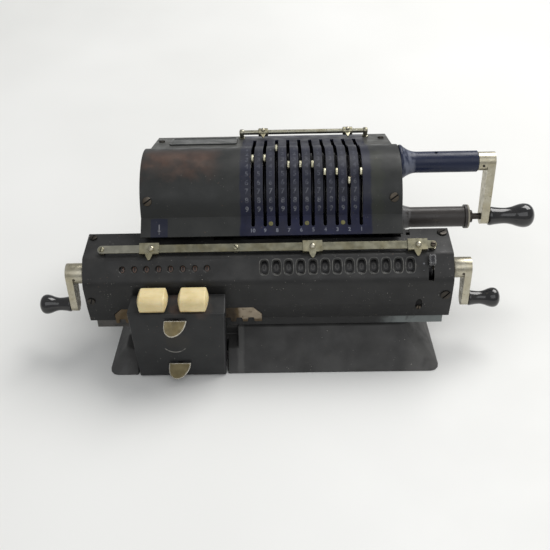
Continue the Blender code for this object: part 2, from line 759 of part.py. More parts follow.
def shift_rack():
    """Toothed plate on the carriage's front edge, one notch for each place."""
    outline = [(RACK_RIGHT, RACK_BOTTOM), (RACK_RIGHT, RACK_TOP - 6.8), (RACK_RIGHT - 6.4, RACK_TOP)]
    outline += [(-115.6, RACK_TOP), (-121.2, RACK_TOP - 5.4), (-121.2, RACK_BOTTOM)]
    for place in range(RESULT_PLACES - 1):
        notch = -118.6 + PITCH * place
        for dx, rise in ((0.0, 0.0), (0.6, 4.0), (4.6, 4.0), (5.2, 0.0)):
            outline.append((notch + dx, RACK_BOTTOM + rise))
    rack = skin([[(x, y, z) for x, z in outline] for y in (29.5, 30.9)])
    return settle(rack, "shift_rack", "brass")


def result_dial(place):
    x = FIRST_RESULT_X + PITCH * place
    half = DIAL_WIDTH / 2
    profile = [(x - half, 4.4), (x - half, DIAL_RADIUS), (x + half, DIAL_RADIUS), (x + half, 4.4)]
    dial = lathe(profile, DIAL_AXIS, DIAL_SIDES, hollow=True)
    return settle(dial, f"result_dial_{RESULT_PLACES - place}", "dial_enamel", (x, *DIAL_AXIS))


def counter_dial_set():
    """The counter register's eight dials on one sleeve."""
    half = DIAL_WIDTH / 2
    start = FIRST_COUNTER_X
    profile = [(start - 6.0, 4.4), (start - 6.0, 6.5)]
    for place in range(COUNTER_PLACES):
        x = start + PITCH * place
        profile += [(x - half, 6.5), (x - half, DIAL_RADIUS), (x + half, DIAL_RADIUS), (x + half, 6.5)]
    end = start + PITCH * (COUNTER_PLACES - 1) + 6.0
    profile += [(end, 6.5), (end, 4.4)]
    dials = lathe(profile, DIAL_AXIS, DIAL_SIDES, hollow=True)
    return settle(dials, "counter_dial_set", "dial_enamel", (start, *DIAL_AXIS))


def clearing_crank(name, shaft_end, side, end_plate):
    """Dial shaft, hub and arm in one; side is 1 at the right end and -1 at the left."""
    hub_start = end_plate + side * 0.6
    hub_end = end_plate + side * CLEARING_ARM_OUT
    shaft = lathe([(shaft_end, SHAFT_RADIUS), (hub_end - side, SHAFT_RADIUS)], DIAL_AXIS, 16)
    hub = lathe([(hub_start, 7.2), (hub_start + side * 0.8, 7.8), (hub_end, 7.8)], DIAL_AXIS, 20)
    outline = bar_outline(DIAL_AXIS, CLEAR_KNOB_AXIS, 7.8, 5.4)
    arm = prism(outline, hub_end - side * 5.2, hub_end - side * 0.01)
    spindle = lathe([(hub_end - side * 2.0, 1.7), (hub_end + side * 18.0, 1.7)], CLEAR_KNOB_AXIS, 10)
    return settle(join(shaft, hub, arm, spindle), name, "nickel", (hub_end, *DIAL_AXIS))


def clearing_knob(name, side, end_plate):
    start = end_plate + side * (CLEARING_ARM_OUT + 0.4)
    profile = knob_profile(start, CLEARING_KNOB_LENGTH, 7.6, 2.0, side)
    return settle(lathe(profile, CLEAR_KNOB_AXIS, 16), name, "black_gloss", (start, *CLEAR_KNOB_AXIS))


# Key housing


def housing_solid(inset):
    """Housing block that widens and leans back towards its top; inset shrinks it, open at the back."""
    back = 27.4 if inset == 0 else 40.0
    low = -5.0 if inset else 0.6
    rings = []
    for z, left, right, front in ((low, -103.3, -36.5, 1.4), (HOUSING_TOP - inset, -106.0, -34.2, 5.8)):
        lean = (right - left) * 0.012
        rings.append([
            (left + inset, front + inset, z),
            (right - inset, front + inset, z),
            (right - inset - lean, back, z),
            (left + inset + lean, back, z),
        ])
    return skin(rings)


def latch_opening(middle, lip_top):
    """Slot in the housing's front for a latch's arm, with its top hidden behind the lip."""
    return box((LATCH_X - 2.9, -4.0, middle - 5.5), (LATCH_X + 2.9, 10.0, lip_top - 0.7))


def key_housing():
    housing = housing_solid(0)
    soften(housing, 2.4, 2, lambda co: co.y < 10.0)
    cut(housing, housing_solid(HOUSING_WALL))
    for x in KEY_CENTRES:
        cut(housing, post(x, KEY_STEM_Y, 2.7, 50.0, 70.0))
    for settings in LATCHES:
        cut(housing, latch_opening(settings[1], settings[2][1]))
    return settle(housing, "key_housing", "black_paint")


def shift_key(name, x):
    """Barrel key on a stem: domed at both ends, with an arched top."""
    middle = (KEY_FRONT + KEY_BACK) / 2
    rings = []
    levels = (
        (KEY_BOTTOM, 8.6, 9.0, 0.8),
        (KEY_BOTTOM + 1.0, 9.0, 9.7, 0.0),
        ((KEY_BOTTOM + KEY_TOP) / 2, 9.2, 11.1, 0.0),
        (KEY_TOP - 2.4, 9.1, 9.9, 0.6),
        (KEY_TOP - 0.6, 8.8, 9.3, 3.0),
        (KEY_TOP, 8.4, 8.8, 4.6),
    )
    for z, half, bulge, inset in levels:
        front, back = KEY_FRONT + inset, KEY_BACK - inset
        plan = ((-half, front), (half, front), (bulge, middle), (half, back), (-half, back), (-bulge, middle))
        rings.append([(x + dx, y, z) for dx, y in plan])
    stem = post(x, KEY_STEM_Y, 2.3, 40.0, KEY_BOTTOM + 2.0)
    return settle(join(skin(rings), stem), name, "ivory", (x, KEY_STEM_Y, KEY_BOTTOM))


def latch(name, slot_middle, lip_start, lip_end):
    """Thumb latch: an arm through the housing's slot with a lopsided D-shaped lip in front."""
    pivot = (LATCH_PIVOT_Y, slot_middle)
    hub = lathe([(LATCH_X - 2.2, 3.4), (LATCH_X + 2.2, 3.4)], pivot, 12)
    start = Vector(lip_start)
    along = Vector(lip_end) - start
    arm = [(pivot[0], pivot[1] - 2.4), (pivot[0], pivot[1] + 2.4), (start.x + 0.3, start.y - 1.2)]
    arm += [tuple(start + along * 0.3), (start.x + 2.5, start.y - 5.5)]
    across = Vector((along.y, -along.x)).normalized() * LATCH_THICKNESS / 2
    plan = [(0.0, -LATCH_HALF_WIDTH), (0.0, LATCH_HALF_WIDTH)]
    for i in range(1, 12):
        t = math.pi * i / 12
        plan.append((0.12 + 0.88 * math.sin(t), LATCH_HALF_WIDTH * math.cos(t) - LATCH_SKEW * math.sin(t)))
    rings = []
    for side in (-1, 1):
        ring = []
        for share, dx in plan:
            y, z = start + along * share + across * side
            ring.append((LATCH_X + dx, y, z))
        rings.append(ring)
    shape = join(hub, prism(arm, LATCH_X - 2.2, LATCH_X + 2.2), skin(rings))
    return settle(shape, name, "nickel", (LATCH_X, *pivot))


def build_body():
    base_casting()
    base_plate()
    carriage_guide_rail()
    frame_plates()
    rear_cover()
    drum_cover()
    top_plate()
    crank_bearing_tube()
    crank_stop_tube()
    upper_pointer_rail()
    for number, x in enumerate(UPPER_POINTERS, 1):
        upper_pointer(f"upper_pointer_{number}", x)


def build_drive():
    crank = crank_shaft()
    attach(crank_arm(), crank)
    pin = crank_lock_pin()
    attach(crank_handle(), pin)
    attach(pin, crank)
    idler_gear()
    drum = rotor()
    for lever in setting_levers():
        attach(lever, drum)


def build_carriage():
    carriage = pivot_empty("carriage", (CARRIAGE_LEFT, CARRIAGE_FRONT, 0.0))
    pieces = [carriage_frame(), carriage_cover(), shift_rack(), decimal_rail(), selector_lever()]
    for number, x in enumerate(DECIMAL_POINTERS, 1):
        pieces.append(decimal_pointer(f"decimal_pointer_{number}", x))
    pieces += [result_dial(place) for place in range(RESULT_PLACES)]
    pieces.append(counter_dial_set())
    for name, shaft_end, side, plate in (
        ("result_clearing", -26.6, 1, CARRIAGE_RIGHT),
        ("counter_clearing", -27.4, -1, CARRIAGE_LEFT),
    ):
        crank = clearing_crank(f"{name}_crank", shaft_end, side, plate)
        attach(clearing_knob(f"{name}_knob", side, plate), crank)
        pieces.append(crank)
    for piece in pieces:
        attach(piece, carriage)


def build_keys():
    key_housing()
    for name, x in zip(("shift_key_left", "shift_key_right"), KEY_CENTRES):
        shift_key(name, x)
    for settings in LATCHES:
        latch(*settings)


def main():
    for item in list(bpy.data.objects):
        bpy.data.objects.remove(item, do_unlink=True)
    build_body()
    build_drive()
    build_carriage()
    build_keys()


main()
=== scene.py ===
"""Looks of the pinwheel adding machine: finer shells, numerals, screws and worn finishes on the CAD frame.

Shapes are worked out in millimetres in the machine's own frame (X right, Y back, Z up from the desk,
X = 0 in the middle of the base) and piece() carries them to the CAD frame, in metres.
"""

import json
from math import atan2, copysign, cos, degrees, pi, radians, sin, tan

import bmesh
import bpy
from mathutils import Matrix, Vector

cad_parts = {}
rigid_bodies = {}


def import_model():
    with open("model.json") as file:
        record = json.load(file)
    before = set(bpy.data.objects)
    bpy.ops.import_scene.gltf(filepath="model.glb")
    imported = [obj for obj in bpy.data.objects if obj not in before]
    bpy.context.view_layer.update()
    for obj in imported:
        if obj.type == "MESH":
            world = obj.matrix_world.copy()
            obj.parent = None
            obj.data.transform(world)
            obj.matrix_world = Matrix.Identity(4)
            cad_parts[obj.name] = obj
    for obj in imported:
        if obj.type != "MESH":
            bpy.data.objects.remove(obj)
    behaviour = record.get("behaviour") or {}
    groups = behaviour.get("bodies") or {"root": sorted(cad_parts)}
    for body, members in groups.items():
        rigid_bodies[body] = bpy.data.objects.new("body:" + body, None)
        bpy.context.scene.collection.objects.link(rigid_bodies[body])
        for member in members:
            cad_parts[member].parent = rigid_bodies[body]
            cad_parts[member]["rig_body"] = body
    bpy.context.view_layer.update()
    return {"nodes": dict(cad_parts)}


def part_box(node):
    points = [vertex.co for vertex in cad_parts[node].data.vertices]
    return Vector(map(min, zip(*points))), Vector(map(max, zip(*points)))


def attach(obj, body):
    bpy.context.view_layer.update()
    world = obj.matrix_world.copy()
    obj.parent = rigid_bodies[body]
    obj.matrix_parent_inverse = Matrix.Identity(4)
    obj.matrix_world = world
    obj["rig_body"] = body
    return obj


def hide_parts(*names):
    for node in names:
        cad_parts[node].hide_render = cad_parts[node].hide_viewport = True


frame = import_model()

MM = 0.001
BASE_DEPTH = 186.0
base_low, base_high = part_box("base_casting")
MACHINE_ZERO = Vector(((base_low.x + base_high.x) / 2, base_high.y - BASE_DEPTH * MM, 0.0))
UP = (0, 0, 1)
FRONT = (0, -1, 0)

# Axes that run along X, as (y, z)
ROTOR_AXIS = (107.0, 94.6)
CRANK_AXIS = (111.0, 120.5)
HANDLE_AXIS = (104.0, 73.2)
DIAL_AXIS = (46.0, 68.2)
CLEAR_KNOB_AXIS = (41.0, 41.8)
UPPER_RAIL_AXIS = (166.5, 117.6)
UPPER_RAIL_ENDS = (-26.6, 80.0)

# Upper body
PITCH = 9.0
COLUMNS = 10
COLUMN_X = [67.4 - PITCH * i for i in range(COLUMNS)]
COVER_HALF_WIDTH = 98.2
COVER_SHEET = 2.0
DRUM_RADIUS = 38.6
APRON_EDGE = (57.0, 92.8)
DRUM_START = 10.8
DRUM_END = 128.9
DRUM_SCREW_ANGLE = 30.0
PLATE_REAR = (178.0, 108.0)
PLATE_LIP = 101.0
TOP_PLATE_HALF_WIDTH = 96.0
SLOT_WIDTH = 2.6
SLOT_FOOT = 7.0
SLOT_REAR_Y = 157.0
NINE_ANGLE = 19.3
DIGIT_STEP = 10.0
DIGIT_OFFSET = 4.4
DIGIT_FIELD = (-23.2, 75.1)
ARROW_X = -84.2

# Crank
TUBE_ROOT = ((94.2, 6.5), (98.5, 6.5))
CRANK_ARM_SPAN = (166.6, 172.7)
LOCK_PIN_RADIUS = 2.5

# Carriage
CARRIAGE_SHEET = 1.6
CARRIAGE_LEFT = -140.8
CARRIAGE_RIGHT = 134.4
CARRIAGE_TOP = 85.2
CARRIAGE_BACK = 72.6
CARRIAGE_FRONT = 28.9
FACET_TOP = (42.4, 84.8)
FACET_FOOT = (28.9, 70.0)
WINDOW_RISE = 11.7
WINDOW_POWER = 0.62
RESULT_PLACES = 13
COUNTER_PLACES = 8
RESULT_X = [-5.6 + PITCH * i for i in range(RESULT_PLACES)]
COUNTER_X = [-111.1 + PITCH * i for i in range(COUNTER_PLACES)]
DIAL_RADIUS = 11.4
DIAL_WIDTH = 7.6
WINDOW_ANGLE = 50.0
SELECTOR_X = 117.6
STOP_RECESS = (110.3, 46.5)
STOP_RECESS_HALF = (2.7, 5.6)
RAIL_CENTRE = (48.0, 88.8)
RAIL_TILT = radians(30.0)
RAIL_OUT = (0.0, -sin(RAIL_TILT), cos(RAIL_TILT))
RAIL_ENDS = (-129.6, 122.2)
RAIL_POSTS = (-126.6, -26.6, 119.4)
DECIMAL_POINTERS = (-90.9, 30.4, 107.9)
STUD_OFFSETS = (1.6, 0.0, 0.6)
UPPER_POINTERS = (-6.8, 63.2)

# Key housing
KEY_CENTRES = {"left": -86.6, "right": -57.0}
KEY_STEM_Y = 15.0
KEY_FRONT = 3.2
KEY_BACK = 22.6
KEY_BOTTOM = 64.9
KEY_TOP = 75.2
CRESCENT_CENTRE = (-73.2, 35.2)


# Shape makers, in millimetres


def add_object(name, data):
    thing = bpy.data.objects.new(name, data)
    bpy.context.scene.collection.objects.link(thing)
    return thing


def evaluated_mesh(thing):
    """Mesh of an object as its modifiers leave it."""
    bpy.context.view_layer.update()
    graph = bpy.context.evaluated_depsgraph_get()
    return bpy.data.meshes.new_from_object(thing.evaluated_get(graph))


def new_shape(bm):
    bmesh.ops.recalc_face_normals(bm, faces=bm.faces)
    mesh = bpy.data.meshes.new("shape")
    bm.to_mesh(mesh)
    bm.free()
    return add_object("shape", mesh)


def skin(rings, ring_of_rings=False):
    """Closed solid over rings of equal length: capped at both ends, or joined end to start."""
    bm = bmesh.new()
    loops = [[bm.verts.new(point) for point in ring] for ring in rings]
    pairs = list(zip(loops, loops[1:]))
    if ring_of_rings:
        pairs.append((loops[-1], loops[0]))
    else:
        bm.faces.new(loops[0])
        bm.faces.new(loops[-1])
    for near, far in pairs:
        for i in range(len(near)):
            j = (i + 1) % len(near)
            bm.faces.new((near[i], near[j], far[j], far[i]))
    return new_shape(bm)


def prism(outline, left, right):
    """Solid between two X planes from a closed (y, z) outline."""
    return skin([[(x, y, z) for y, z in outline] for x in (left, right)])


def slab(low, high):
    """Rectangular solid between two corners."""
    (x0, y0, z0), (x1, y1, z1) = low, high
    return prism([(y0, z0), (y1, z0), (y1, z1), (y0, z1)], x0, x1)


def circle(sides):
    """(cosine, sine) of each corner of a regular polygon."""
    turns = [2 * pi * i / sides for i in range(sides)]
    return [(cos(t), sin(t)) for t in turns]


def lathe(profile, axis, sides=56, hollow=False):
    """Turned solid about an X axis from (x, radius) points; hollow joins the last to the first."""
    y, z = axis
    rings = [[(x, y - radius * c, z + radius * s) for c, s in circle(sides)] for x, radius in profile]
    return skin(rings, hollow)


def aim(direction):
    """Rotation that takes Z to a direction."""
    return Vector(UP).rotation_difference(Vector(direction)).to_matrix()


def turned(profile, base, direction, sides=32):
    """Turned solid from (height, radius) points, standing on a base point along a direction."""
    turn = aim(direction)
    rings = []
    for height, radius in profile:
        ring = [Vector((radius * c, radius * s, height)) for c, s in circle(sides)]
        rings.append([Vector(base) + turn @ point for point in ring])
    return skin(rings)


def merge(shapes):
    """One object that holds several separate shapes."""
    bm = bmesh.new()
    for shape in shapes:
        bm.from_mesh(shape.data)
        bpy.data.objects.remove(shape, do_unlink=True)
    return new_shape(bm)


def combine(target, operation, tools):
    """Apply exact Booleans one by one and drop the tools."""
    for tool in tools:
        modifier = target.modifiers.new("combine", "BOOLEAN")
        modifier.operation = operation
        modifier.solver = "EXACT"
        modifier.object = tool
        mesh = evaluated_mesh(target)
        target.modifiers.clear()
        target.data = mesh
        bpy.data.objects.remove(tool, do_unlink=True)
    return target


def cut(target, *tools):
    return combine(target, "DIFFERENCE", tools)


def join(target, *tools):
    return combine(target, "UNION", tools)


# Outline helpers, all in (y, z)


def arc(centre, radius, start, end, steps):
    """Arc points; degrees run from the front over the top to the back."""
    points = []
    for i in range(steps + 1):
        t = radians(start + (end - start) * i / steps)
        points.append((centre[0] - radius * cos(t), centre[1] + radius * sin(t)))
    return points


def rounded(corners, steps=4):
    """Open line through (y, z, radius) corners, with each inner corner rounded."""
    points = [Vector(corners[0][:2])]
    for before, corner, after in zip(corners, corners[1:], corners[2:]):
        here = Vector(corner[:2])
        back = (Vector(before[:2]) - here).normalized()
        ahead = (Vector(after[:2]) - here).normalized()
        half = back.angle(ahead) / 2
        reach = corner[2] / tan(half)
        centre = here + (back + ahead).normalized() * corner[2] / sin(half)
        first = here + back * reach - centre
        last = here + ahead * reach - centre
        for i in range(steps + 1):
            points.append(centre + first.slerp(last, i / steps).normalized() * corner[2])
    points.append(Vector(corners[-1][:2]))
    return [tuple(point) for point in points]


def shifted(line, distance):
    """The same open line moved sideways; plus is to the right of the direction of travel."""
    moved = []
    for i, point in enumerate(line):
        before = Vector(line[max(i - 1, 0)])
        after = Vector(line[min(i + 1, len(line) - 1)])
        here = Vector(point)
        sides = []
        for step in (here - before, after - here):
            if step.length > 1e-6:
                step.normalize()
                sides.append(Vector((step.y, -step.x)))
        normal = sum(sides, Vector((0.0, 0.0))).normalized()
        moved.append(tuple(here + normal * distance / normal.dot(sides[0])))
    return moved


def sheet(line, thickness, left, right):
    """Bent sheet whose outer face follows an open line that has its inside on the right."""
    return prism(line + shifted(line, thickness)[::-1], left, right)


def bar_outline(start, end, start_radius, end_radius, steps=20):
    """Flat bar with round ends between two axes."""
    lean = degrees(atan2(end[1] - start[1], -(end[0] - start[0])))
    near = arc(start, start_radius, lean + 90, lean + 270, steps)
    far = arc(end, end_radius, lean - 90, lean + 90, steps)
    return near + far


# Materials: sizes in millimetres, places in the machine's frame, contrast limits from 0 to 1

OPEN = (None, None)
ALONG_TUBE = (1.0, 1.0, 0.3)


class Shader:
    """A Principled material being put together, node by node."""

    def __init__(self, name):
        self.material = bpy.data.materials.new(name)
        self.material.use_nodes = True
        self.tree = self.material.node_tree
        self.principled = self.tree.nodes["Principled BSDF"]
        self.where = self.add("TexCoord", output="Object")

    def add(self, kind, inputs=None, output=0, **settings):
        """Output socket of a new node."""
        node = self.tree.nodes.new("ShaderNode" + kind)
        for key, value in settings.items():
            setattr(node, key, value)
        for key, value in (inputs or {}).items():
            self.feed(node.inputs[key], value)
        return node.outputs[output]

    def feed(self, socket, value):
        if isinstance(value, bpy.types.NodeSocket):
            self.tree.links.new(value, socket)
        else:
            socket.default_value = value

    def noise(self, size, detail=3.0, stretch=(1, 1, 1)):
        """Noise from 0 to 1 whose features are about this size across."""
        place = self.add("Mapping", {"Vector": self.where, "Scale": stretch})
        return self.add("TexNoise", {"Vector": place, "Scale": 1.0 / (size * MM), "Detail": detail}, "Fac")

    def ramp(self, value, low, high, out_low=0.0, out_high=1.0):
        inputs = {0: value, 1: low, 2: high, 3: out_low, 4: out_high}
        return self.add("MapRange", inputs, interpolation_type="SMOOTHSTEP")

    def mottle(self, size, low, high, detail=3.0, stretch=(1, 1, 1)):
        """Noise with its contrast raised: 0 below low and 1 above high."""
        return self.ramp(self.noise(size, detail, stretch), low, high)

    def maths(self, operation, first, second=0.0):
        return self.add("Math", {0: first, 1: second}, operation=operation)

    def times(self, *values):
        product = values[0]
        for value in values[1:]:
            product = self.maths("MULTIPLY", product, value)
        return product

    def mix(self, share, first, second):
        """Colour mix; share 0 gives the first."""
        first = first if isinstance(first, bpy.types.NodeSocket) else (*first, 1.0)
        second = second if isinstance(second, bpy.types.NodeSocket) else (*second, 1.0)
        return self.add("Mix", {0: share, 6: first, 7: second}, 2, data_type="RGBA")

    def over(self, paint, colour, *masks):
        """Paint with a colour laid over it where every mask is 1."""
        return self.mix(self.times(*masks), paint, colour)

    def axis(self, index):
        return self.add("SeparateXYZ", {0: self.where}, index)

    def patch(self, x=OPEN, y=OPEN, z=OPEN, soft=0.3, wobble=0.0):
        """1 inside a box; None leaves a side open."""
        masks = []
        for index, limits in enumerate((x, y, z)):
            value = self.axis(index)
            if wobble:
                shift = self.ramp(self.noise(9.0, 4.0), 0.3, 0.7, -wobble * MM, wobble * MM)
                value = self.maths("ADD", value, shift)
            for limit, sign in zip(limits, (1, -1)):
                if limit is not None:
                    edge = limit * MM + MACHINE_ZERO[index]
                    half = sign * soft * MM / 2
                    masks.append(self.ramp(value, edge - half, edge + half))
        return self.times(*masks)

    def distance(self, line):
        """Metres from a line along the one axis whose place is None."""
        squares = []
        for index, place in enumerate(line):
            if place is not None:
                off = self.maths("SUBTRACT", self.axis(index), place * MM + MACHINE_ZERO[index])
                squares.append(self.times(off, off))
        return self.maths("SQRT", self.maths("ADD", *squares))

    def edges(self, width, low=0.02, high=0.16):
        """1 along sharp edges, from how far a rounded normal turns away from the true one."""
        round_normal = self.add("Bevel", {"Radius": width * MM}, samples=4)
        true_normal = self.add("NewGeometry", output="Normal")
        dot = self.add("VectorMath", {0: round_normal, 1: true_normal}, "Value", operation="DOT_PRODUCT")
        return self.ramp(dot, 1.0 - low, 1.0 - high)

    def upward(self):
        normal = self.add("NewGeometry", output="Normal")
        return self.ramp(self.add("SeparateXYZ", {0: normal}, 2), 0.1, 0.9)

    def bump(self, *layers):
        """Chain of (height, strength, distance) bumps into the normal."""
        normal = None
        for height, strength, distance in layers:
            inputs = {"Height": height, "Strength": strength, "Distance": distance * MM}
            if normal is not None:
                inputs["Normal"] = normal
            normal = self.add("Bump", inputs)
        self.feed(self.principled.inputs["Normal"], normal)

    def finish(self, colour, roughness, metallic=0.0, **others):
        inputs = {"Base Color": colour, "Roughness": roughness, "Metallic": metallic}
        inputs.update((key.replace("_", " "), value) for key, value in others.items())
        for key, value in inputs.items():
            self.feed(self.principled.inputs[key], value)
        return self.material


def scaled(colour, factor):
    return tuple(min(1.0, c * factor) for c in colour)


def stained(*patches):
    """Overlay of stains, painted shade and painted highlights: share, colour, box to fill, and the mottle
    that breaks it up, if any.
    """
    def overlay(s, paint):
        for share, colour, box, *mottle in patches:
            masks = [s.patch(**box)]
            if mottle:
                masks.append(s.mottle(*mottle))
            if share < 1.0:
                masks.append(share)
            paint = s.over(paint, colour, *masks)
        return paint

    return overlay


def enamel(name, colour, roughness=0.42, overlay=None, dust=1.0, wear=1.0, specks=0.0):
    """Old brushed enamel: mottled, with dust, dark chips and rubbed edges."""
    s = Shader(name)
    paint = s.mix(s.mottle(30.0, 0.3, 0.7), scaled(colour, 0.92), scaled(colour, 1.10))
    if overlay:
        paint = overlay(s, paint)
    paint = s.over(paint, (0.19, 0.175, 0.15), s.edges(0.55), s.mottle(7.0, 0.42, 0.68, 5.0), 0.5 * wear)
    chips = s.mottle(2.6, 0.735, 0.76, 2.0)
    paint = s.over(paint, (0.075, 0.05, 0.036), chips, 0.75)
    paint = s.over(paint, (0.30, 0.29, 0.27), s.upward(), s.mottle(16.0, 0.35, 0.75, 5.0), 0.05 * dust)
    grains = s.mottle(1.1, 0.765 - specks, 0.785 - specks, 1.0)
    paint = s.over(paint, (0.42, 0.40, 0.36), grains, s.mottle(12.0, 0.45, 0.6), 0.7 * dust)
    gloss = s.ramp(s.noise(11.0, 5.0), 0.25, 0.75, roughness - 0.09, roughness + 0.13)
    s.bump((s.noise(0.7, 2.0), 0.10, 0.08), (chips, 0.4, -0.05), (s.noise(6.0), 0.12, 0.15))
    return s.finish(paint, gloss, Specular_IOR_Level=0.32)


def plated(name, colour, roughness=0.30, tarnish=0.5, brushed=(1, 1, 1), overlay=None):
    """Old plating: fine brushing, yellow film and brown pits."""
    s = Shader(name)
    yellow = (colour[0] * 0.72, colour[1] * 0.66, colour[2] * 0.50)
    metal = s.over(colour, yellow, s.mottle(9.0, 0.35, 0.7, 4.0), tarnish)
    lines = s.noise(0.6, 3.0, brushed)
    metal = s.over(metal, scaled(colour, 0.6), lines, 0.25)
    pits = s.mottle(1.3, 0.70, 0.74, 2.0)
    metal = s.over(metal, (0.09, 0.065, 0.045), pits, 0.8)
    metal = s.over(metal, (0.13, 0.11, 0.075), s.mottle(3.0, 0.5, 0.75, 4.0), 0.35 * tarnish)
    if overlay:
        metal = overlay(s, metal)
    gloss = s.ramp(s.noise(4.0, 4.0), 0.3, 0.75, roughness - 0.06, roughness + 0.16)
    s.bump((lines, 0.05, 0.05), (pits, 0.3, -0.04))
    gloss = s.maths("ADD", gloss, s.times(pits, 0.3))
    return s.finish(metal, gloss, s.maths("SUBTRACT", 1.0, s.times(pits, 0.7)))


def drum_regions(s, paint):
    """Navy digit field, small navy arrow field, and the patch that hands have rubbed brown."""
    worn = s.mix(s.mottle(14.0, 0.3, 0.7), (0.0060, 0.0076, 0.0180), (0.0115, 0.0135, 0.030))
    fresh = s.mix(s.mottle(14.0, 0.3, 0.7), (0.0010, 0.0022, 0.0190), (0.0035, 0.0058, 0.034))
    navy = s.mix(s.ramp(s.axis(2), 0.100, 0.118), fresh, worn)
    brown = s.mix(s.mottle(12.0, 0.35, 0.65), (0.086, 0.043, 0.029), (0.116, 0.066, 0.047))
    rubbed = dict(x=(-95.0, -42.0), y=(None, 114.0), z=(130.5, None), soft=15.0, wobble=2.5)
    return stained(
        (0.72, brown, rubbed, 24.0, 0.15, 0.40, 2.0),
        (0.45, (0.030, 0.034, 0.022), dict(x=(75.5, 84.0), y=(66.0, 108.0), soft=5.0, wobble=2.0)),
        (0.85, (0.006, 0.008, 0.026), dict(x=(-90.5, -78.0), y=(None, 68.4), soft=0.8, wobble=0.3)),
        (0.65, (0.060, 0.060, 0.054), dict(y=(132.0, None), soft=2.0)),
        (1.0, navy, dict(x=DIGIT_FIELD, soft=1.6, wobble=0.5)),
    )(s, paint)


def housing_regions(s, paint):
    """Rubs around the latches and keys, right-hand edges lighter with wear and a painted highlight, and a
    bright crescent that the upper latch has scraped.
    """
    latches = dict(x=(-80.0, -62.0), y=(-5.0, 8.0), z=(31.0, 44.0), soft=7.0, wobble=3.0)
    keys = dict(x=(-74.0, -46.0), y=(1.0, None), z=(60.0, None), soft=8.0, wobble=3.0)
    paint = stained((0.3, (0.040, 0.034, 0.024), latches), (0.8, (0.062, 0.042, 0.034), keys))(s, paint)
    # Lighter right-hand edges: partly wear, partly painted highlight
    side = s.patch(x=(-56.0, None), soft=4.0)
    paint = s.over(paint, (0.080, 0.080, 0.084), s.edges(1.6, 0.01, 0.10), side, 0.8)
    radius = s.distance((CRESCENT_CENTRE[0], None, CRESCENT_CENTRE[1]))
    ring = (s.ramp(radius, 0.0094, 0.0098), s.ramp(radius, 0.0104, 0.0100))
    lower_front = (s.ramp(s.axis(2), 0.0294, 0.0284), s.ramp(s.axis(1), -0.074, -0.076))
    return s.over(paint, (0.33, 0.32, 0.29), *ring, *lower_front, s.mottle(3.0, 0.35, 0.55), 0.8)


def lever_regions(s, metal):
    """Bare fingertips, and painted shade in the slots: everything below the cover's face near black."""
    return s.mix(s.ramp(s.distance((None, *ROTOR_AXIS)), 0.0384, 0.0394), (0.010, 0.010, 0.011), metal)


def latch_regions(s, metal):
    """Darker lower latch, and edges that thumbs have kept bright."""
    metal = stained((0.7, (0.105, 0.088, 0.048), dict(z=(None, 25.0), soft=1.0)))(s, metal)
    return s.mix(s.edges(1.1, 0.008, 0.07), metal, (0.80, 0.77, 0.70))


def rim_regions(s, paint):
    """Window edges whose paint has gone in places."""
    return s.mix(s.mottle(3.5, 0.46, 0.60), paint, (0.12, 0.118, 0.11))


def selector_regions(s, paint):
    """Painted highlight along the corners of the selector's knob."""
    return s.mix(s.edges(1.1, 0.01, 0.09), paint, (0.40, 0.40, 0.40))


# Flange paint gone chalky between its dark rim and the tube
tube_regions = stained((
    0.75, (0.17, 0.185, 0.235), dict(x=(101.2, 110.5), soft=1.2, wobble=0.6),
    5.0, 0.36, 0.6, 5.0, ALONG_TUBE))

# Chalky root and the bare rim of the collar
stop_tube_regions = stained(
    (0.6, (0.20, 0.20, 0.20), dict(x=(99.8, 109.5), soft=2.0, wobble=0.8),
     4.0, 0.30, 0.55, 5.0, ALONG_TUBE),
    (1.0, (0.36, 0.33, 0.26), dict(x=(155.9, None))))

# Lighter left end of the pointer bar: cleaner metal with a painted highlight
bar_clean_end_and_highlight = stained((1.0, (0.34, 0.33, 0.27), dict(x=(None, -98.0), soft=1.0, wobble=0.5)))

# Channel whose two ends have lost most of their paint
CHANNEL_FRONT = dict(y=(None, 40.0), z=(None, 40.0))
frame_regions = stained(
    (0.8, (0.095, 0.088, 0.080), dict(x=(None, -88.0), **CHANNEL_FRONT, soft=4.0, wobble=1.0),
     9.0, 0.2, 0.5, 4.0),
    (0.9, (0.185, 0.205, 0.20), dict(x=(88.0, None), **CHANNEL_FRONT, soft=22.0, wobble=2.0),
     9.0, 0.2, 0.5, 4.0))

# Left end of the foot lighter, right end rubbed lighter, painted light in the notch beside the key housing
# and a painted highlight down its rounded corner
base_wear_and_painted_light = stained(
    (0.35, (0.085, 0.085, 0.085), dict(x=(None, -113.0), y=(None, 60.0), soft=4.0, wobble=1.5)),
    # Painted light: the notch beside the key housing lifted out of its shade
    (0.8, (0.090, 0.089, 0.086), dict(x=(-36.5, -26.5), z=(20.5, None), soft=1.0)),
    # Painted highlight down the notch's rounded corner
    (0.55, (0.105, 0.104, 0.100), dict(x=(-27.8, -23.0), soft=2.4, wobble=0.4)),
    (0.7, (0.105, 0.103, 0.099), dict(x=(104.0, None), y=(None, 60.0), soft=18.0, wobble=2.0),
     14.0, 0.2, 0.5))

# Rack gone dark at the key housing, and rubbed brighter beside it where it is handled
rack_regions = stained(
    (0.7, (0.06, 0.052, 0.045), dict(x=(-40.0, -27.0), soft=4.0, wobble=2.0)),
    (0.75, (0.47, 0.40, 0.31), dict(x=(-25.0, -8.0), z=(34.0, None), soft=3.0, wobble=1.0),
     5.0, 0.25, 0.42))

# Painted shade: darker left end of the carriage's front
cover_painted_shade = stained((
    0.4, (0.007, 0.007, 0.007),
    dict(x=(None, -100.0), y=(None, 34.0), z=(None, 74.0), soft=24.0, wobble=3.0)))


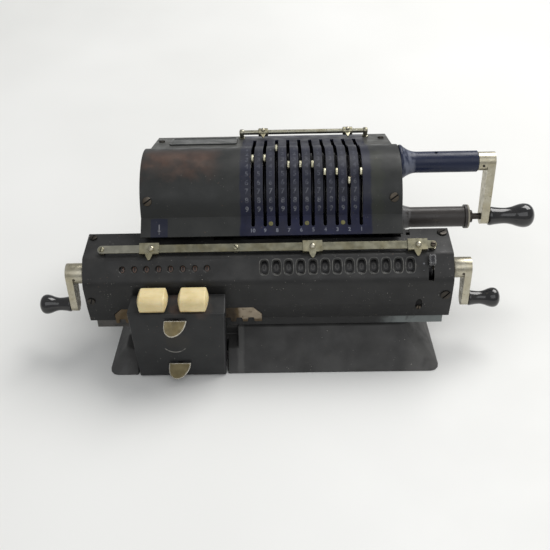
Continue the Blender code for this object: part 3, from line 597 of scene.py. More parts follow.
def ivory():
    s = Shader("ivory_keys")
    tone = s.mix(s.mottle(7.0, 0.3, 0.7, 4.0), (0.70, 0.565, 0.290), (0.78, 0.650, 0.370))
    streaks = s.mottle(2.2, 0.52, 0.78, 4.0, (0.35, 1.0, 1.0))
    tone = s.over(tone, (0.50, 0.37, 0.16), streaks, 0.30)
    # Painted shade: darker foot along the lower front of each key
    foot = dict(y=(None, 8.0), z=(None, 66.8), soft=1.2, wobble=0.5)
    tone = stained((0.75, (0.42, 0.30, 0.12), foot))(s, tone)
    dirt = s.mottle(1.0, 0.72, 0.76, 2.0)
    tone = s.over(tone, (0.22, 0.15, 0.07), dirt, 0.6)
    s.bump((s.noise(1.5, 3.0), 0.06, 0.08), (dirt, 0.2, -0.04))
    gloss = s.ramp(s.noise(5.0), 0.3, 0.7, 0.30, 0.46)
    return s.finish(tone, gloss, Subsurface_Weight=0.12, Subsurface_Radius=(0.004, 0.0025, 0.001))


def gloss_black():
    s = Shader("gloss_black")
    tone = s.mix(s.mottle(8.0, 0.3, 0.7), (0.006, 0.006, 0.007), (0.014, 0.013, 0.013))
    scratches = s.mottle(0.8, 0.66, 0.72, 4.0, (0.15, 1.0, 1.0))
    tone = s.over(tone, (0.09, 0.09, 0.095), scratches, 0.25)
    gloss = s.maths("ADD", s.ramp(s.noise(6.0, 4.0), 0.3, 0.75, 0.08, 0.2), s.times(scratches, 0.2))
    s.bump((scratches, 0.08, -0.02))
    return s.finish(tone, gloss, Coat_Weight=0.35, Coat_Roughness=0.06)


def ink(name, colour, under, keep):
    """Painted figures, partly rubbed away."""
    s = Shader(name)
    tone = s.mix(s.mottle(2.4, keep - 0.12, keep + 0.16, 4.0), colour, under)
    tone = s.over(tone, scaled(colour, 0.5), s.noise(0.5, 2.0), 0.35)
    s.bump((s.noise(0.6), 0.1, 0.03))
    return s.finish(tone, s.ramp(s.noise(3.0), 0.3, 0.7, 0.4, 0.6))


def drum_ink():
    """Figures on the drum: rubbed further away towards the top and the right."""
    s = Shader("drum_ink")
    height = s.times(s.ramp(s.axis(2), 0.105, 0.134), 0.62)
    side = s.ramp(s.axis(0), -0.02, 0.06, 0.0, 0.22)
    gone = s.maths("ADD", s.maths("ADD", s.mottle(2.6, 0.34, 0.74, 4.0), height), side)
    tone = s.mix(s.maths("MINIMUM", gone, 0.92), (0.165, 0.17, 0.19), (0.012, 0.015, 0.034))
    s.bump((s.noise(0.6), 0.1, 0.03))
    return s.finish(tone, s.ramp(s.noise(3.0), 0.3, 0.7, 0.4, 0.55))


def floor_paper():
    s = Shader("floor_paper")
    tone = s.mix(s.mottle(420.0, 0.3, 0.7, 2.0), (0.765, 0.765, 0.745), (0.825, 0.825, 0.808))
    s.bump((s.noise(1.2, 2.0), 0.03, 0.1))
    return s.finish(tone, s.ramp(s.noise(60.0), 0.3, 0.7, 0.55, 0.7))


# Finishes, grouped by the record's material slot that they stand for
FINISHES = {
    "black_paint": {
        "paint": enamel("black_enamel", (0.0175, 0.0172, 0.0172)),
        "cover": enamel("cover_enamel", (0.0182, 0.0180, 0.0178), overlay=cover_painted_shade, specks=0.03),
        "drum": enamel("drum_enamel", (0.0195, 0.0208, 0.0202), overlay=drum_regions, dust=0.7),
        "housing": enamel("housing_enamel", (0.020, 0.0205, 0.021), overlay=housing_regions),
        "base": enamel("base_enamel", (0.037, 0.0365, 0.0355), 0.5, base_wear_and_painted_light, 1.2),
        "frame": enamel("frame_enamel", (0.022, 0.022, 0.022), overlay=frame_regions),
        "label": enamel("label_enamel", (0.034, 0.037, 0.036), 0.34, wear=1.6),
        "window_rim": enamel("window_rims", (0.055, 0.055, 0.052), 0.4, rim_regions, 0.5),
        # Painted shade for screw slots and the stop recess
        "recess_shade": enamel("painted_recess_shade", (0.006, 0.006, 0.006), 0.8, dust=0.0, wear=0.0),
        "drum_ink": drum_ink(),
        "mark_ink": ink("mark_ink", (0.16, 0.17, 0.21), (0.03, 0.03, 0.06), 0.60),
        "faint_ink": ink("faint_ink", (0.20, 0.20, 0.22), (0.02, 0.02, 0.03), 0.56),
        "comma_ink": ink("comma_ink", (0.17, 0.155, 0.045), (0.075, 0.07, 0.035), 0.60),
    },
    "navy_paint": {
        "tube": enamel("navy_enamel", (0.012, 0.018, 0.046), 0.32, tube_regions, 0.5),
        "stop_tube": enamel("brown_enamel", (0.054, 0.048, 0.045), 0.34, stop_tube_regions, 0.5),
    },
    "dial_enamel": {
        "dial": enamel("dial_black", (0.022, 0.022, 0.023), 0.38, dust=0.4, wear=0.3),
        "dial_ink": ink("dial_ink", (0.068, 0.064, 0.060), (0.02, 0.019, 0.018), 0.54),
        "rust_ink": ink("counter_ink", (0.19, 0.11, 0.080), (0.05, 0.034, 0.027), 0.60),
    },
    "nickel": {
        "nickel": plated("aged_nickel", (0.50, 0.47, 0.375)),
        "rod": plated("aged_nickel_rod", (0.36, 0.35, 0.28), 0.30, 0.6, (0.05, 1, 1)),
        "bar": plated("aged_nickel_bar", (0.275, 0.265, 0.197), 0.34, 0.7, (0.05, 1, 1), bar_clean_end_and_highlight),
        "clip": plated("aged_nickel_clips", (0.385, 0.365, 0.265), 0.32, 0.7),
        "lever": plated("setting_fingers", (0.62, 0.60, 0.45), overlay=lever_regions),
        "latch": plated("worn_latch_plate", (0.20, 0.167, 0.098), 0.36, 0.7, overlay=latch_regions),
        "screw": plated("browned_screw", (0.105, 0.090, 0.075), 0.40, 0.6),
        "dark_screw": plated("blackened_screw", (0.06, 0.055, 0.05), 0.38, 0.4),
    },
    "steel": {"steel": plated("machined_steel", (0.30, 0.30, 0.29), 0.38, 0.4)},
    "brass": {"brass": plated("dull_brass", (0.17, 0.13, 0.09), 0.44, 0.9, overlay=rack_regions)},
    "ivory": {"ivory": ivory()},
    "black_gloss": {
        "gloss": gloss_black(),
        "selector": enamel("selector_black", (0.030, 0.030, 0.032), 0.16, selector_regions, 0.4),
    },
}
MATERIALS = {finish: material for group in FINISHES.values() for finish, material in group.items()}


# Pieces

SMOOTH_ANGLE = radians(32)


def soften(shape, width, segments):
    modifier = shape.modifiers.new("edges", "BEVEL")
    modifier.width = width * MM
    modifier.segments = segments
    modifier.limit_method = "ANGLE"
    modifier.angle_limit = SMOOTH_ANGLE
    modifier.use_clamp_overlap = True
    modifier.harden_normals = True


def piece(shape, name, finish, body="machine_body", node=None, bevel=0.0, segments=2):
    """Carry a millimetre shape to the frame and give it its body, finish and softened edges."""
    shape.name = name
    mesh = shape.data
    mesh.name = name
    mesh.transform(Matrix.Translation(MACHINE_ZERO) @ Matrix.Scale(MM, 4))
    mesh.materials.clear()
    mesh.materials.append(MATERIALS[finish])
    mesh.shade_smooth()
    mesh.set_sharp_from_angle(angle=SMOOTH_ANGLE)
    if bevel:
        soften(shape, bevel, segments)
    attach(shape, body)
    if node:
        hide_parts(node)


def paint_faces(shape, faces, finish):
    """Give some of a piece's faces a second finish."""
    shape.data.materials.append(MATERIALS[finish])
    for index in faces:
        shape.data.polygons[index].material_index = 1


def refine(node, finish, bevel, segments=2):
    """Copy of a CAD node with clean flat faces and softened edges."""
    source = frame["nodes"][node]
    bm = bmesh.new()
    bm.from_mesh(source.data)
    bmesh.ops.remove_doubles(bm, verts=bm.verts, dist=2e-6)
    bmesh.ops.dissolve_limit(bm, angle_limit=radians(0.5), verts=bm.verts, edges=bm.edges)
    bm.transform(Matrix.Scale(1 / MM, 4) @ Matrix.Translation(-MACHINE_ZERO))
    piece(new_shape(bm), f"{node}_fine", finish, source["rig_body"], node, bevel, segments)


# Figures

CAP_HEIGHT = 0.69
FIGURE_THICKNESS = 0.05
FIGURE_WEIGHT = 0.12
GLYPHS = {}


def glyph(text, height, band):
    """Solid figure centred on (0, 0), cut into bands so that it can be bent, in millimetres."""
    key = (text, height, band)
    if key in GLYPHS:
        return GLYPHS[key]
    curve = bpy.data.curves.new("glyph", "FONT")
    curve.body = text
    curve.size = height / CAP_HEIGHT
    curve.extrude = FIGURE_THICKNESS
    curve.offset = FIGURE_WEIGHT
    curve.resolution_u = 3
    holder = add_object("glyph", curve)
    mesh = evaluated_mesh(holder)
    bpy.data.objects.remove(holder, do_unlink=True)
    bm = bmesh.new()
    bm.from_mesh(mesh)
    bmesh.ops.remove_doubles(bm, verts=bm.verts, dist=1e-4)
    xs = [v.co.x for v in bm.verts]
    ys = [v.co.y for v in bm.verts]
    middle = Vector(((min(xs) + max(xs)) / 2, (min(ys) + max(ys)) / 2, 0))
    bmesh.ops.translate(bm, verts=bm.verts, vec=-middle)
    level = min(ys) - middle.y + band
    while level < max(ys) - middle.y:
        everything = bm.verts[:] + bm.edges[:] + bm.faces[:]
        bmesh.ops.bisect_plane(bm, geom=everything, plane_co=(0, level, 0), plane_no=(0, 1, 0))
        level += band
    bm.to_mesh(mesh)
    bm.free()
    GLYPHS[key] = mesh
    return mesh


def figure(mesh, x, place):
    """Copy of a figure at x; place gives its points' y and z from their height and lift."""
    bm = bmesh.new()
    bm.from_mesh(mesh)
    for vert in bm.verts:
        vert.co = (x + vert.co.x, *place(vert.co.y, vert.co.z))
    return new_shape(bm)


def wrapped(text, height, x, angle, axis, radius):
    """Figure bent around an X axis, reading upright from the front."""
    def place(up, lift):
        t = radians(angle) + up / radius
        reach = radius + lift
        return axis[0] - reach * cos(t), axis[1] + reach * sin(t)

    return figure(glyph(text, height, 0.5), x, place)


def laid(text, height, x, point, along):
    """Figure on a flat face; along is the face's (y, z) direction up the figure."""
    up = Vector(along).normalized()
    out = Vector((-up.y, up.x))

    def place(high, lift):
        return Vector(point) + up * high + out * (lift + 0.05)

    return figure(glyph(text, height, 50.0), x, place)


# Upper body


def drum_point(angle):
    return arc(ROTOR_AXIS, DRUM_RADIUS, angle, angle, 1)[0]


def drum_line():
    return [APRON_EDGE] + arc(ROTOR_AXIS, DRUM_RADIUS, DRUM_START, DRUM_END, 72)


def apron_point(rise, out=0.0):
    """Point on the apron, rise from its edge and out off its face, and the direction up the apron."""
    edge = Vector(APRON_EDGE)
    along = (Vector(drum_point(DRUM_START)) - edge).normalized()
    return edge + along * rise + Vector((-along.y, along.x)) * out, along


def slope_direction():
    start = Vector(drum_point(DRUM_END))
    return start, (Vector(PLATE_REAR) - start).normalized()


def slope_point(y, out=0.0):
    """Point on the sloping top plate at a given y, out off its face."""
    start, direction = slope_direction()
    point = start + direction * ((y - start.x) / direction.x)
    return point + Vector((-direction.y, direction.x)) * out


def slot_outline():
    """Side outline of the space that a lever sweeps through the cover and the top plate."""
    foot, along = apron_point(SLOT_FOOT + SLOT_WIDTH / 2)
    across = Vector((along.y, -along.x))
    end_z = slope_point(SLOT_REAR_Y).y
    outside = [tuple(foot - across * 5.0)] + arc(ROTOR_AXIS, 47.0, 20.0, 120.0, 12)
    inside = arc(ROTOR_AXIS, 30.0, 120.0, 5.0, 12) + [tuple(foot + across * 5.0)]
    return outside + [(SLOT_REAR_Y, end_z + 9.0), (SLOT_REAR_Y, end_z - 7.0)] + inside


def cut_slots(cover):
    """Ten lever slots, round at their lower ends."""
    half = SLOT_WIDTH / 2
    foot, along = apron_point(SLOT_FOOT + half, -5.0)
    out = (0, -along.y, along.x)
    slots = [prism(slot_outline(), x - half, x + half) for x in COLUMN_X]
    ends = [turned([(0.0, half), (10.0, half)], (x, *foot), out, 20) for x in COLUMN_X]
    return cut(cover, merge(slots), merge(ends))


def drum_cover():
    cover = sheet(drum_line(), COVER_SHEET, -COVER_HALF_WIDTH, COVER_HALF_WIDTH)
    piece(cut_slots(cover), "drum_shell", "drum", node="drum_cover", bevel=0.35)


def top_plate():
    start, direction = slope_direction()
    first = start + direction * 0.5
    line = rounded([(*first, 0), (*PLATE_REAR, 4.0), (PLATE_REAR[0], PLATE_LIP, 0)], 10)
    plate = sheet(line, COVER_SHEET, -TOP_PLATE_HALF_WIDTH, TOP_PLATE_HALF_WIDTH)
    piece(cut_slots(plate), "top_shell", "drum", node="top_plate", bevel=0.4)


def plate_on_slope(left, right, front, back, low, high, corner):
    """Round-cornered plate lying on the sloping top."""
    rings = []
    for out in (low, high):
        ring = []
        for cx, cy, first in ((right, back, 0), (left, back, 90), (left, front, 180), (right, front, 270)):
            mx = cx - copysign(corner, cx - (left + right) / 2)
            my = cy - copysign(corner, cy - (front + back) / 2)
            for i in range(5):
                t = radians(first + 22.5 * i)
                y, z = slope_point(my + corner * sin(t), out)
                ring.append((mx + corner * cos(t), y, z))
        rings.append(ring)
    return skin(rings)


def nameplate():
    """Blank label with a raised, rubbed rim."""
    rim = plate_on_slope(-82.5, -28.0, 142.5, 167.0, 0.05, 1.1, 2.2)
    cut(rim, plate_on_slope(-80.9, -29.6, 144.0, 165.5, 0.7, 3.0, 1.6))
    piece(rim, "blank_label", "label", bevel=0.2)


def figures():
    """Setting digits beside each slot, and the column numbers, marks and arrow on the apron."""
    digits = []
    for x in COLUMN_X:
        for digit in range(10):
            angle = NINE_ANGLE + DIGIT_STEP * (9 - digit)
            digits.append(wrapped(str(digit), 3.9, x - DIGIT_OFFSET, angle, ROTOR_AXIS, DRUM_RADIUS))
    piece(merge(digits), "setting_digits", "drum_ink")
    low, along = apron_point(4.0)
    numbers = [laid(str(column), 2.8, x, low, along) for column, x in enumerate(COLUMN_X, 1)]
    piece(merge(numbers), "column_numbers", "mark_ink")
    dot = [(0.0, 1.7), (0.2, 1.6), (0.35, 1.0), (0.4, 0.1)]
    point = apron_point(9.2)[0]
    out = (0, -along.y, along.x)
    dots = [turned(dot, (x + PITCH / 2 - 0.2, *point), out, 20) for x in COLUMN_X[2::3]]
    piece(merge(dots), "thousands_marks", "comma_ink")
    arrow = [laid("|", 5.6, ARROW_X, apron_point(6.0)[0], along), laid("v", 3.0, ARROW_X, low, along)]
    piece(merge(arrow), "turn_arrow", "faint_ink")


def screw(name, centre, normal, radius, finish="screw", turn=40.0, height=1.3, body="machine_body"):
    """Cheese-head screw whose slot faces take painted shade; centre is where its head meets the surface."""
    shares = ((0.55, 1.0), (0.85, 0.93), (1.0, 0.74))
    profile = [(-0.6, radius * 0.96)] + [(height * up, radius * out) for up, out in shares]
    head = turned(profile, (0, 0, 0), UP, 36)
    half = radius * 0.15
    floor = height * 0.3
    cut(head, slab((-radius * 1.5, -half, floor), (radius * 1.5, half, height * 2)))
    centres = [face.center.copy() for face in head.data.polygons]
    in_slot = [i for i, c in enumerate(centres) if abs(c.y) < half + 0.01 and c.z > floor - 0.01]
    head.data.transform(Matrix.Rotation(radians(turn), 4, "Z"))
    head.data.transform(Matrix.Translation(centre) @ aim(normal).to_4x4())
    piece(head, name, finish, body, bevel=0.1)
    # Painted shade on the slot's faces
    paint_faces(head, in_slot, "recess_shade")


def body_screws():
    t = radians(DRUM_SCREW_ANGLE)
    out = (0, -cos(t), sin(t))
    for name, x in (("left", -92.6), ("right", 91.9)):
        screw(f"drum_screw_{name}", (x, *drum_point(DRUM_SCREW_ANGLE)), out, 3.5, turn=35.0)
    slope = slope_direction()[1]
    out = (0, -slope.y, slope.x)
    for name, x in (("left", -90.6), ("right", 90.0)):
        screw(f"top_screw_{name}", (x, *slope_point(158.0)), out, 2.6, "dark_screw", 20.0)
    places = [(x, z) for x in (-88.0, 88.0) for z in (33.0, 92.0)]
    for number, (x, z) in enumerate(places, 1):
        screw(f"rear_screw_{number}", (x, PLATE_REAR[0], z), (0, 1, 0), 2.8, turn=30.0 * number)
    for name, side in (("left", -1), ("right", 1)):
        for number, (y, z) in enumerate(((84.0, 34.0), (166.0, 34.0), (163.0, 100.0)), 1):
            place = (side * 97.6, y, z)
            screw(f"{name}_plate_screw_{number}", place, (side, 0, 0), 2.8, turn=25.0 * number)


def bearing_cap():
    """Turned cap over the rotor's left bearing."""
    profile = [(-97.5, 9.0), (-98.6, 9.0), (-99.4, 8.2), (-99.6, 6.4), (-100.6, 6.0), (-100.9, 4.6)]
    piece(lathe(profile, ROTOR_AXIS), "left_bearing_cap", "steel")


def shift_keys():
    """Barrel keys: a rounded section along X that closes to a blunt cone at each end."""
    middle = (KEY_FRONT + KEY_BACK) / 2
    level = (KEY_BOTTOM + KEY_TOP) / 2
    section = rounded([
        (13.0, KEY_BOTTOM, 0), (KEY_FRONT, KEY_BOTTOM, 1.8), (KEY_FRONT, KEY_TOP, 6.0),
        (KEY_BACK, KEY_TOP, 5.0), (KEY_BACK, KEY_BOTTOM, 1.8), (13.2, KEY_BOTTOM, 0)], 6)
    half = [
        (8.3, 1.0), (8.75, 0.985), (9.1, 0.95), (9.35, 0.90),
        (10.2, 0.62), (10.8, 0.40), (11.05, 0.20), (11.1, 0.08)]
    stations = [(-reach, share) for reach, share in reversed(half)] + half
    for side, x in KEY_CENTRES.items():
        rings = []
        for dx, share in stations:
            shrunk = [(middle + (y - middle) * share, level + (z - level) * share) for y, z in section]
            rings.append([(x + dx, *point) for point in shrunk])
        cap = join(skin(rings), turned([(0, 2.3), (27.0, 2.3)], (x, KEY_STEM_Y, 40.0), UP, 28))
        piece(cap, f"{side}_key_fine", "ivory", f"{side}_key", f"shift_key_{side}")


# Crank


def smooth_profile(points, steps=4):
    """Catmull-Rom curve through (x, radius) points."""
    ends = [points[0]] + list(points) + [points[-1]]
    curve = []
    for a, b, c, d in zip(ends, ends[1:], ends[2:], ends[3:]):
        for i in range(steps):
            t = i / steps
            curve.append(tuple(
                0.5 * (2 * q + (r - p) * t + (2 * p - 5 * q + 4 * r - s) * t ** 2
                       + (3 * q - p - 3 * r + s) * t ** 3)
                for p, q, r, s in zip(a, b, c, d)))
    return curve + [points[-1]]


def crank_tubes():
    flange = smooth_profile([
        (98.5, 13.2), (98.9, 13.7), (100.0, 13.7), (100.6, 13.4),
        (102.4, 11.9), (105.4, 10.0), (109.0, 8.6), (112.5, 8.2)])
    mouth = [(158.8, 8.2), (159.4, 7.7), (159.4, 4.4), (94.2, 4.4)]
    tube = lathe([*TUBE_ROOT, *flange, *mouth], CRANK_AXIS, hollow=True)
    cut(tube, turned([(0.0, 1.3), (9.0, 1.3)], (127.0, CRANK_AXIS[0], CRANK_AXIS[1] + 5.6), UP, 24))
    piece(tube, "bearing_tube_fine", "tube", node="crank_bearing_tube")
    flange = smooth_profile([(98.5, 10.6), (101.0, 10.6), (104.0, 10.2), (107.0, 9.2), (111.0, 8.2)])
    collar = [(153.4, 8.2), (153.6, 9.3), (153.9, 9.6), (156.9, 9.6), (157.2, 9.3)]
    socket = [(157.2, 3.4), (156.7, 2.9), (147.0, 2.9)]
    tube = lathe([*TUBE_ROOT, *flange, *collar, *socket], HANDLE_AXIS)
    piece(tube, "stop_tube_fine", "stop_tube", node="crank_stop_tube")


def crank_arm():
    arm = prism(bar_outline(CRANK_AXIS, HANDLE_AXIS, 7.2, 6.2), *CRANK_ARM_SPAN)
    join(arm, lathe([(159.8, 7.2), (167.0, 7.2)], CRANK_AXIS))
    shaft = lathe([(155, 4.35), (180, 4.35)], CRANK_AXIS, 40)
    cut(arm, shaft, lathe([(160, 2.9), (180, 2.9)], HANDLE_AXIS, 32))
    piece(arm, "crank_arm_fine", "nickel", "crank", "crank_arm", 0.6, 3)
    foot = (163.4, CRANK_AXIS[0] - 7.1, CRANK_AXIS[1])
    pin = turned([(0.0, 1.0), (0.5, 0.95), (0.7, 0.5)], foot, FRONT, 16)
    piece(pin, "crank_taper_pin", "dark_screw", "crank")
    nose = [(157.7, 1.6), (158.3, LOCK_PIN_RADIUS)]
    ring = [(158.3, 4.8), (158.5, 5.0), (160.0, 5.0), (160.2, 4.8)]
    rod = [(160.2, LOCK_PIN_RADIUS), (203.0, LOCK_PIN_RADIUS)]
    pin = lathe(nose + ring + rod, HANDLE_AXIS, 40)
    piece(pin, "lock_pin_fine", "dark_screw", "lock_pin", "crank_lock_pin")


KNOB_SHAPE = (
    (0.0, 0.70), (0.012, 0.75), (0.05, 0.78), (0.15, 0.725), (0.28, 0.67), (0.40, 0.665), (0.52, 0.75),
    (0.62, 0.88), (0.71, 0.97), (0.79, 1.0), (0.87, 0.945), (0.93, 0.80), (0.975, 0.56), (0.995, 0.30),
    (1.0, 0.10))


def knob(start, length, radius, bore, direction, axis):
    """Pear-shaped knob on a blind bore, from its foot out to its round end."""
    shape = [(start + direction * length * along, radius * share) for along, share in KNOB_SHAPE]
    outer = smooth_profile(shape)
    return lathe([(start + direction * length * 0.86, bore), (start, bore)] + outer, axis, 64)


def crank_handle():
    shape = knob(173.1, 36.9, 9.7, 2.9, 1, HANDLE_AXIS)
    piece(shape, "crank_handle_fine", "gloss", "handle", "crank_handle")


# Pointer rails


def upper_pointers():
    """Flat-topped rod with two sliding pointers, each clamped by a round-headed screw."""
    y, z = UPPER_RAIL_AXIS
    left, right = UPPER_RAIL_ENDS
    collar = [(0.0, 1.6), (0.5, 2.5), (1.2, 2.7), (3.2, 2.7), (3.8, 2.4), (3.8, 1.9)]
    profile = [(left + dx, radius) for dx, radius in collar]
    profile += [(right - dx, radius) for dx, radius in reversed(collar)]
    rail = lathe(profile, UPPER_RAIL_AXIS, 32)
    foot = slope_point(y, 0.4).y
    for x in (left + 1.9, right - 1.9):
        join(rail, turned([(0, 2.5), (0.8, 2.5), (1.0, 1.8), (z - foot, 1.8)], (x, y, foot), UP, 28))
    piece(rail, "upper_rail_fine", "rod", node="upper_pointer_rail", bevel=0.12)
    for number, x in enumerate(UPPER_POINTERS, 1):
        profile = [(x - 4.0, 2.3), (x - 4.0, 3.0), (x - 3.6, 3.3)]
        profile += [(x + 3.6, 3.3), (x + 4.0, 3.0), (x + 4.0, 2.3)]
        sleeve = lathe(profile, UPPER_RAIL_AXIS, 32, hollow=True)
        rings = []
        tongue = ((2.6, 2.3, -0.7, 0.9), (4.8, 1.7, -0.9, 0.5), (7.5, 0.4, -1.2, -0.5))
        for reach, half, low, high in tongue:
            corners = ((-half, low), (half, low), (half, high), (-half, high))
            rings.append([(x + dx, y - reach, z + dz) for dx, dz in corners])
        join(sleeve, skin(rings))
        body = f"upper_pointer_{number}"
        piece(sleeve, f"{body}_fine", "clip", body, body, 0.25)
        dome = [(-0.5, 1.7), (0.3, 1.75), (0.9, 1.5), (1.3, 0.95), (1.45, 0.25)]
        piece(turned(dome, (x, y - 1.3, z + 2.9), (0, -0.35, 0.94), 28), f"{body}_stud", "nickel", body)


def rail_frame_point(along, out):
    """Point in the decimal rail's tilted section: along runs forwards and down, out is off its face."""
    y = RAIL_CENTRE[0] - along * cos(RAIL_TILT) - out * sin(RAIL_TILT)
    z = RAIL_CENTRE[1] - along * sin(RAIL_TILT) + out * cos(RAIL_TILT)
    return (y, z)


def decimal_rail():
    """Flat bar with round ends on three posts, each held by a screw."""
    left, right = RAIL_ENDS
    half = 3.1
    rings = []
    for out in (-0.6, 0.6):
        ring = []
        for centre, first in ((right - half, -90), (left + half, 90)):
            for i in range(13):
                t = radians(first + 15 * i)
                ring.append((centre + half * cos(t), *rail_frame_point(half * sin(t), out)))
        rings.append(ring)
    piece(skin(rings), "decimal_bar", "bar", "carriage", "decimal_rail", 0.2)
    y, z = RAIL_CENTRE
    foot = CARRIAGE_TOP + 0.3
    for number, x in enumerate(RAIL_POSTS, 1):
        post = turned([(0, 2.4), (0.5, 2.4), (0.7, 1.7), (z - foot - 0.4, 1.7)], (x, y + 0.6, foot), UP, 28)
        piece(post, f"rail_post_{number}", "nickel", "carriage")
        head = (x, *rail_frame_point(0.0, 0.6))
        finish = "screw" if x == RAIL_POSTS[-1] else "clip"
        screw(f"rail_screw_{number}", head, RAIL_OUT, 2.0, finish, 30.0 + 50 * number, 1.1, "carriage")


def decimal_pointer(number, x):
    """Folded clip with a pointed tongue and a clamping screw."""
    def rectangle(half_along, half_out):
        corners = ((-1, -1), (1, -1), (1, 1), (-1, 1))
        return [rail_frame_point(a * half_along, o * half_out) for a, o in corners]

    clip = prism(rectangle(4.3, 1.7), x - 7.3, x + 7.3)
    cut(clip, prism(rectangle(3.5, 1.0), x - 9.0, x + 9.0))
    rings = []
    for along, half, thick in ((3.9, 2.9, 0.7), (6.4, 2.2, 0.6), (8.6, 1.0, 0.5), (9.2, 0.5, 0.4)):
        low = rail_frame_point(along, 0.8 - thick)
        high = rail_frame_point(along, 0.8 + thick)
        rings.append([(x - half, *low), (x + half, *low), (x + half, *high), (x - half, *high)])
    join(clip, skin(rings))
    body = f"decimal_pointer_{number}"
    piece(clip, f"{body}_fine", "clip", body, body, 0.25)
    dome = [(-0.3, 2.2), (0.5, 2.3), (1.2, 2.0), (1.7, 1.3), (1.9, 0.4)]
    head = (x + STUD_OFFSETS[number - 1], *rail_frame_point(0.4, 1.7))
    piece(turned(dome, head, RAIL_OUT, 28), f"{body}_stud", "nickel", body)


# Carriage


def carriage_line():
    """Outer face of the carriage cover, from the front's lower edge up to the back of the top."""
    corners = [
        (CARRIAGE_BACK, CARRIAGE_TOP, 0), (*FACET_TOP, 6.5), (*FACET_FOOT, 10.0),
        (CARRIAGE_FRONT, 48.0, 20.0), (30.3, 33.8, 0)]
    return rounded(corners, 12)[::-1]


def facet_point(rise, depth=0.0):
    """Point on the window facet: rise from its foot along it, depth below its face."""
    foot = Vector(FACET_FOOT)
    along = (Vector(FACET_TOP) - foot).normalized()
    return foot + along * rise + Vector((along.y, -along.x)) * depth


def window(x, rise, sizes, power=WINDOW_POWER, hollow=False):
    """Solid of outlines on the facet, from (half width, half height, depth); power 1 is an ellipse."""
    rings = []
    for half_x, half_rise, depth in sizes:
        ring = []
        for c, s in circle(28):
            cx = copysign(abs(c) ** power, c) * half_x
            cr = copysign(abs(s) ** power, s) * half_rise
            ring.append((x + cx, *facet_point(rise + cr, depth)))
        rings.append(ring)
    return skin(rings, hollow)


def stop_recess():
    """Upright oval cutter on the carriage's front."""
    (x, z), (half_x, half_z) = STOP_RECESS, STOP_RECESS_HALF
    rings = []
    for depth in (-2.0, 1.2):
        rings.append([(x + half_x * c, CARRIAGE_FRONT + depth, z + half_z * s) for c, s in circle(36)])
    return skin(rings)


def in_stop_recess(centre):
    near = abs(centre.x - STOP_RECESS[0]) < 2.7 and abs(centre.z - STOP_RECESS[1]) < 5.7
    return near and 0.3 < centre.y - CARRIAGE_FRONT < 1.3


def carriage_cover():
    cover = sheet(carriage_line(), CARRIAGE_SHEET, CARRIAGE_LEFT, CARRIAGE_RIGHT)
    for left, right, front in ((-44.0, 98.0, 62.6), (101.9, 104.9, 64.7)):
        cut(cover, slab((left, front, 80.0), (right, 80.0, 90.0)))
    opening = [(-121.6, 20.0), (-8.2, 20.0), (-8.2, 39.2), (-14.6, 45.8), (-116.0, 45.8), (-121.6, 40.4)]
    cut(cover, skin([[(x, y, z) for x, z in opening] for y in (20.0, 31.2)]))
    result = ((4.0, 6.4, -0.3), (3.7, 6.1, 0.0), (2.3, 4.8, 1.0), (2.3, 4.8, 3.0))
    counter = ((2.9, 3.1, -0.3), (2.7, 2.9, 0.0), (2.2, 2.4, 0.5), (2.2, 2.4, 3.0))
    windows = [window(x, WINDOW_RISE, result) for x in RESULT_X]
    windows += [window(x, WINDOW_RISE - 0.2, counter, 1.0) for x in COUNTER_X]
    slot = arc(DIAL_AXIS, 9.0, 2.0, 74.0, 8) + arc(DIAL_AXIS, 26.0, 74.0, 2.0, 8)
    cut(cover, merge(windows), prism(slot, SELECTOR_X - 2.1, SELECTOR_X + 2.1), stop_recess())
    sunk = [face.index for face in cover.data.polygons if in_stop_recess(face.center)]
    piece(cover, "carriage_shell", "cover", "carriage", "carriage_cover", 0.3)
    # Painted shade on the faces inside the stop recess
    paint_faces(cover, sunk, "recess_shade")
    rim = ((4.0, 6.4, 0.05), (3.9, 6.3, -0.12), (3.4, 5.8, -0.12), (3.3, 5.7, 0.3))
    rims = [window(x, WINDOW_RISE, rim, hollow=True) for x in RESULT_X]
    piece(merge(rims), "result_window_rims", "window_rim", "carriage")


def carriage_details():
    for side, place, normal, radius, turn in (
            ("top_screw_right", (129.5, 67.1, CARRIAGE_TOP), UP, 3.8, 35.0),
            ("top_screw_left", (-136.6, 67.6, CARRIAGE_TOP), UP, 3.0, 75.0),
            ("front_screw_right", (129.3, CARRIAGE_FRONT, 55.9), FRONT, 3.9, 50.0),
            ("front_screw_left", (-136.4, CARRIAGE_FRONT, 54.9), FRONT, 3.0, 70.0)):
        screw(f"carriage_{side}", place, normal, radius, "dark_screw", turn, body="carriage")
    place = (STOP_RECESS[0], CARRIAGE_FRONT + 0.9, 43.4)
    screw("carriage_stop_screw", place, FRONT, 1.9, "screw", 80.0, 1.0, "carriage")
    along = Vector(FACET_TOP) - Vector(FACET_FOOT)
    signs = (("+", 12.6), ("-", 7.6))
    marks = [laid(text, 1.9, SELECTOR_X - 5.4, facet_point(rise), along) for text, rise in signs]
    piece(merge(marks), "selector_marks", "faint_ink", "carriage")


def figure_ring(x, height, first):
    """Ten figures around a dial, 36 degrees apart, with the first one in the window."""
    digits = []
    for digit in range(10):
        angle = WINDOW_ANGLE - 36.0 * ((digit - first) % 10)
        digits.append(wrapped(str(digit), height, 0.0, angle, DIAL_AXIS, DIAL_RADIUS))
    ring = merge(digits)
    ring.data.transform(Matrix.Translation((x, 0, 0)))
    return ring


def dial_body(x):
    half = DIAL_WIDTH / 2
    lip = 0.35
    profile = [(x - half, 4.4), (x - half, DIAL_RADIUS - lip), (x - half + lip, DIAL_RADIUS)]
    profile += [(x + half - lip, DIAL_RADIUS), (x + half, DIAL_RADIUS - lip), (x + half, 4.4)]
    return lathe(profile, DIAL_AXIS, 60, hollow=True)


